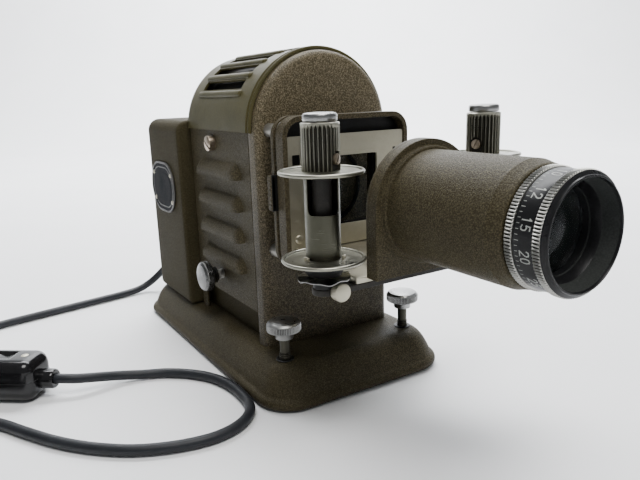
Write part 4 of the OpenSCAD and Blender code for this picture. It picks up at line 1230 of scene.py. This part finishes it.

# pressure plate with its finger tab; the glass behind the window is the carried-over CAD node
ob = prism("pressure_leaf", [rrect(55, 50, 1.5, 5, 0, AZ), rrect(36.4, 36.4, 0.5, 4, 0, AZ)[::-1]], -81.9, -81.0, XZ, M["black_paint"], 0.12, 2)
register(ob, "pressure_plate", ("pressure_plate",))
ob = prism("pressure_link", [[(-41.2, 99.4), (-27.2, 99.4), (-27.2, 117.4), (-41.2, 117.4)]], -81.9, -81.0, XZ, M["black_paint"], 0.15, 2)
register(ob, "pressure_plate")
ob = prism("pressure_tab", [rrect(18, 4.4, 1.2, 6, 108.4, -79.7)], -41.6, -38.6, lambda u, v, t: (t, v, u), frame_tex, 0.9, 4)
register(ob, "pressure_plate")
for i in range(6):
    z = 102.4 + i * 2.4
    b = tube_along("tab_rib_%d" % i, [(-41.6, -81.4, z), (-41.72, -80.4, z), (-41.72, -79.0, z), (-41.6, -78.0, z)], 0.35, frame_tex, 8)
    register(b, "pressure_plate")

# ---------------------------------------------------------------- lens mount, barrel and rings
# ring and foot are one casting
prof_ = [(21.1, -141.9), (27.9, -141.9), (28.4, -142.1), (28.6, -142.6), (28.6, -144.5), (28.35, -145.0), (27.7, -145.2), (27.35, -145.35), (27.2, -145.8),
         (27.2, -148.2), (26.95, -148.8), (26.3, -149.15), (25.85, -149.3), (25.6, -149.7), (25.6, -150.6), (25.35, -151.0), (24.7, -151.2), (21.1, -151.2)]
ob = lathe("lens_mount_ring", prof_, place_y, M["wrinkle"], 128, None, 45.0, True)
register(ob, "projector", ("lens_mount",))
outer = [(-28.6, 77.3), (28.6, 77.3)] + [(28.6 * cos(radians(a)), AZ + 28.6 * sin(radians(a))) for a in range(0, 181, 5)]
ob = prism("lens_mount_foot", [outer, hole(0, AZ, 21.2, 64)], -149.2, -141.95, XZ, M["wrinkle"], 0.9, 4)
register(ob, "projector")

prof_ = [(21.1, -151.0), (24.2, -151.0), (24.2, -160), (24.2, -172), (24.2, -185), (24.2, -196), (24.2, -203.9), (23.95, -204.6), (23.35, -207.0),
         (22.85, -209.2), (22.55, -209.8), (22.1, -210.0), (21.1, -210.0)]
ob = lathe("lens_barrel_tube", prof_, place_y, M["wrinkle"], 128, None, 12.0, True)
register(ob, "projector", ("lens_barrel",))


def darken(ob, limit, radius_of):
    """Faces nearer the axis than the limit get the dull second material."""
    ob.data.materials.append(M["flute"])
    for p in ob.data.polygons:
        t, r = radius_of(p.center)
        if t and r < limit:
            p.material_index = 1


def knurl(teeth):
    def wave(a):
        x = (a * teeth / (2 * pi)) % 1.0
        return abs(2 * x - 1) ** 1.3
    return wave


def knurled_ring(name, y0, y1, r, ri, teeth, material):
    h = y1 - y0
    prof_ = [(ri, y1), (r - 0.9, y1), (r - 0.55, y1 - 0.1, 0.1), (r - 0.12, y1 - 0.35, 0.55), (r, y1 - 0.6, 0.75), (r, y0 + 0.6, 0.75), (r - 0.12, y0 + 0.35, 0.55),
             (r - 0.55, y0 + 0.1, 0.1), (r - 0.9, y0), (ri, y0)]
    ob = lathe(name, prof_, place_y, material, teeth * 6, knurl(teeth), 45.0, True)
    darken(ob, r - 0.34, lambda c: (y0 + 0.3 < c.y / S < y1 - 0.3 and math.hypot(c.x, c.z - AZ * S) / S > r - 1.0, math.hypot(c.x, c.z - AZ * S) / S))
    return ob


ob = knurled_ring("lens_ring_rear", -213.7, -210.5, 22.6, 18.1, 112, M["chrome_y"])
register(ob, "lens", ("lens_rear_ring",))
ob = knurled_ring("lens_ring_front", -225.0, -221.7, 22.3, 19.6, 112, M["chrome_y"])
register(ob, "lens", ("lens_front_ring",))
# black band between the rings, tube behind it
prof_ = [(16.25, -216.9), (16.25, -155.2), (16.6, -155.0), (17.8, -155.0), (18.0, -155.3), (18.0, -213.6), (21.4, -213.75), (21.75, -214.0), (21.85, -214.6),
         (21.55, -220.6), (21.4, -221.4), (21.0, -221.6), (18.9, -221.6)]
ob = lathe("lens_band", prof_, place_y, M["black_ring"], 128, None, 35.0, True)
register(ob, "lens", ("lens_tube",))
# plain graduation marks and plain numbers round the band
STROKES = {
    "1": [[(0.25, 0.80), (0.5, 1.0), (0.5, 0.0)]],
    "2": [[(0.05, 0.78), (0.2, 0.96), (0.5, 1.0), (0.8, 0.96), (0.93, 0.76), (0.85, 0.55), (0.05, 0.0), (0.95, 0.0)]],
    "3": [[(0.08, 0.9), (0.35, 1.0), (0.7, 0.97), (0.88, 0.8), (0.75, 0.57), (0.42, 0.52), (0.75, 0.48), (0.93, 0.27), (0.75, 0.05), (0.4, 0.0), (0.06, 0.1)]],
    "4": [[(0.72, 0.0), (0.72, 1.0), (0.04, 0.3), (0.96, 0.3)]],
    "5": [[(0.86, 1.0), (0.2, 1.0), (0.12, 0.56), (0.5, 0.63), (0.85, 0.5), (0.93, 0.28), (0.78, 0.06), (0.42, 0.0), (0.06, 0.1)]],
    "6": [[(0.82, 0.95), (0.5, 1.0), (0.2, 0.8), (0.07, 0.4), (0.15, 0.1), (0.5, 0.0), (0.83, 0.1), (0.93, 0.32), (0.8, 0.55), (0.5, 0.62), (0.2, 0.52), (0.08, 0.34)]],
    "7": [[(0.05, 1.0), (0.95, 1.0), (0.35, 0.0)]],
    "8": [[(0.5, 0.53), (0.18, 0.65), (0.12, 0.83), (0.3, 0.97), (0.5, 1.0), (0.7, 0.97), (0.88, 0.83), (0.82, 0.65), (0.5, 0.53), (0.13, 0.4), (0.06, 0.2), (0.22, 0.04), (0.5, 0.0), (0.78, 0.04), (0.94, 0.2), (0.87, 0.4), (0.5, 0.53)]],
    "9": [[(0.18, 0.05), (0.5, 0.0), (0.8, 0.2), (0.93, 0.6), (0.85, 0.9), (0.5, 1.0), (0.17, 0.9), (0.07, 0.68), (0.2, 0.45), (0.5, 0.38), (0.8, 0.48), (0.92, 0.66)]],
    "0": [[(0.5, 0.0), (0.2, 0.08), (0.06, 0.35), (0.06, 0.65), (0.2, 0.92), (0.5, 1.0), (0.8, 0.92), (0.94, 0.65), (0.94, 0.35), (0.8, 0.08), (0.5, 0.0)]],
}
mv, mf = [], []
band_r = lambda y: 21.85 + (y + 214.6) * 0.05


def band_quad(p, q, w):
    """A flat bar on the band from p to q; each point is (arc length from the start in mm, y)."""
    d = Vector((q[0] - p[0], q[1] - p[1]))
    d.normalize()
    nrm = Vector((-d.y, d.x)) * w / 2
    ends = [(p[0] - d.x * w / 2, p[1] - d.y * w / 2), (q[0] + d.x * w / 2, q[1] + d.y * w / 2)]
    o = len(mv)
    for lift in (0.045, -0.2):
        for (u, y), sg in ((ends[0], 1), (ends[1], 1), (ends[1], -1), (ends[0], -1)):
            uu, yy = u + sg * nrm.x, y + sg * nrm.y
            rb = band_r(yy) + lift
            mv.append((rb * cos(uu / 21.7), yy, AZ + rb * sin(uu / 21.7)))
    mf.extend([(o, o + 1, o + 2, o + 3), (o + 7, o + 6, o + 5, o + 4), (o, o + 4, o + 5, o + 1), (o + 1, o + 5, o + 6, o + 2), (o + 2, o + 6, o + 7, o + 3), (o + 3, o + 7, o + 4, o)])


for k in range(72):
    u = 2 * pi * k / 72 * 21.7
    band_quad((u, -214.95), (u, -215.9 if k % 6 else -216.3), 0.20)
numbers = ["5", "6", "8", "10", "12", "15", "20", "25", "30", "40", "60", "90"]
for k, word in enumerate(numbers):
    H, Wd, gap = 3.5, 1.9, 0.75
    total = len(word) * Wd + (len(word) - 1) * gap
    u0 = 2 * pi * (k + 0.5) / 12 * 21.7 - total / 2
    for c, ch in enumerate(word):
        for line in STROKES[ch]:
            for p, q in zip(line, line[1:]):
                band_quad((u0 + c * (Wd + gap) + p[0] * Wd, -216.9 - p[1] * H), (u0 + c * (Wd + gap) + q[0] * Wd, -216.9 - q[1] * H), 0.42)
register(mesh_object("lens_marks", mv, mf, M["mark"], 30.0), "lens")
# hood: black outside with a thin rim, plain matt cone inside
prof_ = [(19.55, -221.7), (19.55, -225.02), (21.75, -225.04), (21.85, -225.15), (21.6, -225.4), (20.9, -225.75), (20.5, -226.1), (20.42, -226.5), (20.3, -226.75), (20.05, -226.85),
         (19.75, -226.8), (19.6, -226.5), (19.45, -225.6), (19.2, -221.7)]
ob = lathe("lens_hood_ring", prof_, place_y, M["black_ring"], 128, None, 35.0, True)
register(ob, "lens", ("lens_hood",))
prof_ = [(19.42, -225.9), (18.9, -223.0), (17.8, -219.4), (16.8, -217.2), (16.2, -216.6), (16.2, -215.9), (17.4, -216.4), (18.8, -219.0), (19.5, -223.0), (19.52, -225.9)]
ob = lathe("lens_retainer", prof_, place_y, M["hood_in"], 128, None, 60.0, True)
register(ob, "lens")


def lens_element(name, yv0, r0, yv1, r1, rim, material, nodes=()):
    """Two spherical faces, one rim. r is the signed radius of each face."""
    prof_ = []
    for k in range(11):
        h = rim * k / 10
        prof_.append((h, yv0 + (r0 - math.copysign(sqrt(r0 * r0 - h * h), r0))))
    for k in range(10, -1, -1):
        h = rim * k / 10
        prof_.append((h, yv1 + (r1 - math.copysign(sqrt(r1 * r1 - h * h), r1))))
    return register(lathe(name, prof_, place_y, material, 96, None, 30.0), "lens", nodes)


lens_element("lens_front_glass", -216.5, 41.0, -210.0, 130.0, 16.0, M["glass"], ("lens_elements",))
lens_element("lens_rear_glass", -165.5, -130.0, -157.6, -41.0, 16.0, M["glass"])
# dark disc behind the front glass: painted shade, so that the lens looks deep
prof_ = [(16.2, -209.0), (16.2, -207.9), (3.0, -207.9), (3.0, -208.3), (15.0, -208.9)]
register(lathe("lens_shade_disc", prof_, place_y, M["hood_in"], 96, None, 30.0, True), "lens")

# ---------------------------------------------------------------- spools


def flange_piece(name, sx, z, up, body, nodes):
    """Dished disc with a rolled rim. up is the side that the dish faces."""
    u = 1 if up else -1
    zc = z + 0.5
    prof_ = [(3.08, zc - 0.45 * u), (3.08, zc + 0.45 * u), (8.4, zc + 0.45 * u), (9.2, zc + 0.35 * u), (10.6, zc + 0.12 * u), (12.0, zc + 0.02 * u), (14.6, zc + 0.0 * u), (15.6, zc + 0.1 * u)]
    for k in range(9):
        a = pi * 0.95 - pi * 1.45 * k / 8
        prof_.append((17.15 + 0.85 * cos(a), zc + u * 0.85 * sin(a)))
    prof_ += [(16.9, zc - 0.62 * u), (15.8, zc - 0.5 * u), (12.0, zc - 0.48 * u), (9.0, zc - 0.45 * u)]
    ob = lathe(name, prof_, place_z(sx, SY), M["nickel_turned"], 112, None, 40.0, True)
    return register(ob, body, nodes)


def knob(name, sx, a0, body, nodes):
    """Fluted knob. The flutes run out below the cap, and an arched notch holds the set screw."""
    n = 28
    seg = n * 12
    R0, floor_r, half_w, arch_z = 8.0, 6.3, 2.9, KZ + 5.1
    zs_ = [KZ + 0.02, KZ + 0.1] + [KZ + 0.3 + 0.3 * i for i in range(27)]
    zs_ += [KZ + 8.4 + (141.2 - KZ - 8.4) * i / 5 for i in range(1, 6)]
    zs_ += [141.6, 142.0, 142.4, 142.8, 143.2, 143.6, 143.9, 144.2, 144.42, 144.58]

    def in_notch(a, z):
        da = (a - a0 + pi) % (2 * pi) - pi
        u, w = R0 * math.sin(da), z - arch_z
        return abs(da) < 1.0 and ((u * u + w * w < half_w ** 2) if w > 0 else abs(u) < half_w), da

    rings = []
    for i, z in enumerate(zs_):
        ring = []
        for k in range(seg):
            a = 2 * pi * k / seg
            x = (a * n / (2 * pi)) % 1.0
            d = abs(2 * x - 1)          # 1 on the ridge, 0 in the flute
            g = max(0.0, 1 - (d / 0.74) ** 2)
            depth = 1.0 * sqrt(g) if g > 0 else 0.0
            top = 143.2 - 1.1 * d
            st = max(0.0, 1 - (z - top) / 0.7) if z > top else 1.0
            r = R0 - depth * st
            if z >= 144.3:
                r = min(r, 7.9 - (z - 144.3) * 1.2)
            if i == 0:
                r -= 0.10
            hit, da = in_notch(a, z)
            if hit:
                r = min(r, floor_r / max(0.3, cos(da)))
            ring.append((sx + r * cos(a), SY + r * sin(a), z))
        rings.append(ring)
    v, f = loft(rings, True, True, True)
    ob = mesh_object(name, v, f, [M["nickel_turned"], M["inside"], M["flute"]], 34.0)
    for p in ob.data.polygons:
        if len(p.vertices) > 4:
            continue
        c = p.center
        dx, dy = c.x / S - sx, c.y / S - SY
        if math.hypot(dx, dy) < R0 - 0.55 and c.z / S < 143.6:
            p.material_index = 2
        # the floor of the notch gets the dark inside material: painted shadow in the notch
        if in_notch(math.atan2(dy, dx), c.z / S)[0] and math.hypot(dx, dy) < 7.0:
            p.material_index = 1
    register(ob, body, nodes)
    pl = lambda r, t, a: (sx + (6.2 + t) * cos(a0) - r * cos(a) * sin(a0), SY + (6.2 + t) * sin(a0) + r * cos(a) * cos(a0), KZ + 4.7 + r * sin(a))
    slotted_dome(name + "_set_screw", pl, 2.3, 1.75, 0.6, M["worn"], body, 40, radians(60), (), 0.72)
    return ob


def core_tube(name, sx, a0, body, nodes):
    """Thin tube with a tall window from about mid-height to the upper flange."""
    seg = 180
    z0, half, rc = 107.4, radians(60), 7.45
    zs_ = [SZ + 0.05, SZ + 0.35, 92, 96, 100, 104, 106.4, 107.4, 107.55, 107.8, 108.2, 108.7, 109.4, 110.4, 112, 115, 118, 121, UPZ - 0.05]
    verts, faces, idx = [], [], {}
    for i, z in enumerate(zs_):
        for k in range(seg):
            a = a0 + 2 * pi * k / seg
            idx[i, k] = len(verts)
            verts.append((sx + rc * cos(a), SY + rc * sin(a), z))
    for i in range(len(zs_) - 1):
        zm = (zs_[i] + zs_[i + 1]) / 2
        lim = 0.0
        if zm > z0:
            d = max(0.0, (z0 + 2.6 - zm) / 2.6)
            lim = half - (2.6 / rc) * (1 - sqrt(max(0.0, 1 - d * d)))
        for k in range(seg):
            a = 2 * pi * (k + 0.5) / seg
            da = (a + pi) % (2 * pi) - pi
            if abs(da) < lim:
                continue
            k2 = (k + 1) % seg
            faces.append((idx[i, k], idx[i, k2], idx[i + 1, k2], idx[i + 1, k]))
    # the core takes the darker nickel copy: painted shade between the flanges
    ob = mesh_object(name, verts, faces, [M["core_metal_shaded"], M["inside"]], None)
    so = ob.modifiers.new("sheet", "SOLIDIFY")
    so.thickness = 0.4 * S
    so.offset = -1.0
    so.material_offset = 1
    bake(ob)
    ob.data.shade_smooth()
    ob.data.set_sharp_from_angle(angle=radians(40))
    register(ob, body, nodes)
    inner = lathe(name + "_inner", [(3.08, SZ + 0.2), (4.1, SZ + 0.2), (4.1, UPZ - 0.2), (3.08, UPZ - 0.2)], place_z(sx, SY), M["inside"], 48, None, 30.0, True)
    register(inner, body)
    for j, da in enumerate((-58, 64)):
        aa = a0 + radians(da)
        pl = lambda u, v, t, aa=aa: (sx + (8.9 + v) * cos(aa) - u * sin(aa), SY + (8.9 + v) * sin(aa) + u * cos(aa), t)
        b = prism(name + "_tab_%d" % j, [rrect(3.0, 0.8, 0.3, 4)], SZ - 0.2, SZ + 1.6, pl, M["nickel"], 0.25, 3)
        register(b, body)


for side, sx, ak, ac in (("left", -SX, -61, -116), ("right", SX, -162, -131)):
    body = "spool_" + side
    flange_piece(body + "_flange_low", sx, SZ - 1, True, body, (body + "_lower_flange",))
    flange_piece(body + "_flange_up", sx, UPZ, True, body, (body + "_upper_flange",))
    knob(body + "_fluted_knob", sx, radians(ak), body, (body + "_knob",))
    core_tube(body + "_core_tube", sx, radians(ac), body, (body + "_core",))
    # chrome cap on the spindle
    prof_ = [(2.95, 144.9), (6.5, 144.9), (6.95, 145.0), (7.15, 145.3), (7.15, 147.2), (6.95, 147.75), (6.5, 148.1), (5.8, 148.3), (4.6, 148.4), (2.2, 148.48), (0, 148.5)]
    b = lathe("spindle_cap_" + side, prof_, place_z(sx, SY), M["chrome"], 96, None, 50.0)
    register(b, "projector", ("spool_spindles",) if side == "left" else ())
    b = lathe("spindle_rod_" + side, [(0, 72.0), (2.5, 72.0), (3.0, 72.5), (3.0, 144.95)], place_z(sx, SY), M["steel"], 48)
    register(b, "projector")
    # black cup below the lower flange
    prof_ = [(3.05, 80.9), (6.6, 80.9), (7.3, 81.15), (7.8, 81.9), (8.7, 83.7), (9.1, 84.6), (9.2, 85.2), (9.2, 86.6), (9.05, 87.0), (8.8, 87.1), (7.4, 87.1), (7.4, 82.6), (3.05, 82.4)]
    b = lathe("spool_cup_" + side, prof_, place_z(sx, SY), M["black_paint"], 72, None, 35.0, True)
    register(b, "projector", ("spool_cups",) if side == "left" else ())
    # crinkled spring washer
    seg, rows = 144, []
    for r, zoff in ((3.1, 0.0), (5.0, 0.3), (7.0, 0.6), (9.2, 0.9), (11.0, 1.0), (11.3, 1.0)):
        ring = []
        for k in range(seg):
            a = 2 * pi * k / seg
            ring.append((sx + r * cos(a), SY + r * sin(a), 79.7 + 0.42 * zoff * cos(5 * a + 0.6) + 0.26 * zoff * cos(9 * a + 1.3)))
        rows.append(ring)
    v, f = loft(rows, True)
    ob = mesh_object("spool_washer_" + side, v, f, M["chrome"], None)
    so = ob.modifiers.new("sheet", "SOLIDIFY")
    so.thickness = 0.35 * S
    so.offset = 0.0
    bake(ob)
    ob.data.shade_smooth()
    ob.data.set_sharp_from_angle(angle=radians(45))
    register(ob, "projector", ("spool_spring_washers",) if side == "left" else ())

# arm that carries both spindles
outer = []
for sx in (1, -1):
    for k in range(17):
        a = radians(-90 + 180 * k / 16) if sx > 0 else radians(90 + 180 * k / 16)
        outer.append((sx * SX + 5.5 * cos(a), SY + 5.5 * sin(a)))
ob = prism("spool_arm_bar", [outer], 72.4, 75.4, lambda u, v, t: (u, v, t), M["inside"], 0.6, 3)
register(ob, "projector", ("spool_arms",))
for sx in (-1, 1):
    b = lathe("arm_boss_" + ("l" if sx < 0 else "r"), [(3.02, 75.2), (4.9, 75.2), (4.9, 77.9), (4.5, 78.3), (3.02, 78.35)], place_z(sx * SX, SY), M["black_paint"], 48, None, 35.0, True)
    register(b, "projector")

# ---------------------------------------------------------------- cable gland
gx, gz = -26.0, 31.0
plg = lambda r, t, a: (gx + r * cos(a), t, gz + r * sin(a))
prof_ = [(CORD_D / 2 + 0.06, 91.8), (7.0, 91.8), (7.35, 92.1), (7.4, 92.6), (7.4, 94.1), (7.15, 94.6), (6.4, 94.8)]
y, r = 95.3, 6.2
while y < 112.6:
    k = (y - 95.3) / 18.0
    r = 6.15 - 2.1 * k
    prof_ += [(r, y), (r, y + 1.0), (r - 0.75, y + 1.2), (r - 0.75, y + 1.75)]
    y += 2.15
prof_ += [(3.95, y), (3.85, 113.6), (3.55, 114.0), (CORD_D / 2 + 0.06, 114.0)]
ob = lathe("cable_gland_sleeve", prof_, plg, M["rubber"], 64, None, 35.0, True)
register(ob, "projector", ("cable_gland",))

# ---------------------------------------------------------------- finishes of the carried-over CAD nodes
FINISH = {
    "base_bottom_plate": "black_paint", "rubber_feet": "rubber", "chassis_frame": "housing", "transformer_core": "steel", "transformer_coil": "copper",
    "lamp_socket": "porcelain", "lamp_bulb": "glass", "reflector": "reflector", "condenser_tube": "black_paint", "condenser_lenses": "glass",
    "stand_offs": "steel", "pressure_glass": "glass", "focusing_sleeve": "black_paint", "plug_pins": "brass", "levelling_pad_left": "rubber",
    "levelling_pad_right": "rubber", "side_clamp_pad": "rubber", "spool_cups": "black_paint", "stage_screws": "nickel", "cover_screws": "chrome",
}
for nm, ob in NODES.items():
    if nm in REPLACED:
        continue
    if nm in FINISH:
        mt = M[FINISH[nm]]
    else:
        print("no finish stated for", nm)
        mt = M["black_paint"]
    for s in ob.material_slots:
        s.link = "OBJECT"
        s.material = mt
    if not ob.material_slots:
        print("no slot on", nm)

# ---------------------------------------------------------------- floor, backdrop and light
fmat, fn, fb = new_mat("studio_floor")
fb.inputs["Roughness"].default_value = 0.6
ft = noise_tex(fn, coords(fn), 7.0, 4.0)
fr = ramp(fn, ft, ((0.3, (0.77, 0.775, 0.79)), (0.7, (0.80, 0.805, 0.815))))
fn.links.new(fr, fb.inputs["Base Color"])
rows = []
prof_ = [(-3.0, 0.0), (0.0, 0.0), (1.3, 0.0)]
for k in range(1, 13):
    a = pi / 2 * k / 12
    prof_.append((1.3 + 0.9 * sin(a), 0.9 - 0.9 * cos(a)))
prof_.append((2.2, 4.5))
view = Vector((0.51196, 0.82671, 0)).normalized()
sidev = Vector((view.y, -view.x, 0))
verts, faces = [], []
for (d, z) in prof_:
    for s in (-4.5, 4.5):
        p = view * d + sidev * s
        verts.append((p.x * 1000, p.y * 1000, z * 1000))
for i in range(len(prof_) - 1):
    faces.append((2 * i, 2 * i + 2, 2 * i + 3, 2 * i + 1))
floor = mesh_object("studio_sweep", verts, faces, fmat, None)
floor.data.flip_normals()
floor.data.shade_smooth()
floor.location.z = -0.0002


def area(name, loc, target, size, power, colour=(1, 1, 1), size_y=None, spread=180):
    l = bpy.data.lights.new(name, "AREA")
    l.energy = power
    l.color = colour
    l.shape = "RECTANGLE"
    l.size = size
    l.size_y = size_y or size
    l.spread = radians(spread)
    ob = bpy.data.objects.new(name, l)
    bpy.context.scene.collection.objects.link(ob)
    ob.location = loc
    ob.rotation_euler = (Vector(target) - Vector(loc)).to_track_quat("-Z", "Y").to_euler()
    return ob


area("key_top", (-0.10, -0.60, 1.18), (0, -0.04, 0.1), 0.7, 16.5, (1.0, 0.985, 0.96), 0.5)
area("wall_wash", (0.55, 0.85, 1.9), (1.15, 1.85, 0.7), 1.8, 200.0, (0.97, 0.985, 1.0))
area("back_top", (0.4, 1.0, 1.3), (0, 0, 0.1), 1.0, 6.0, (0.97, 0.99, 1.0))

world = bpy.data.worlds.new("studio")
bpy.context.scene.world = world
world.use_nodes = True
bg = world.node_tree.nodes.get("Background") or world.node_tree.nodes.new("ShaderNodeBackground")
bg.inputs["Color"].default_value = (0.94, 0.97, 1.0, 1)
bg.inputs["Strength"].default_value = 0.30

bpy.context.view_layer.update()
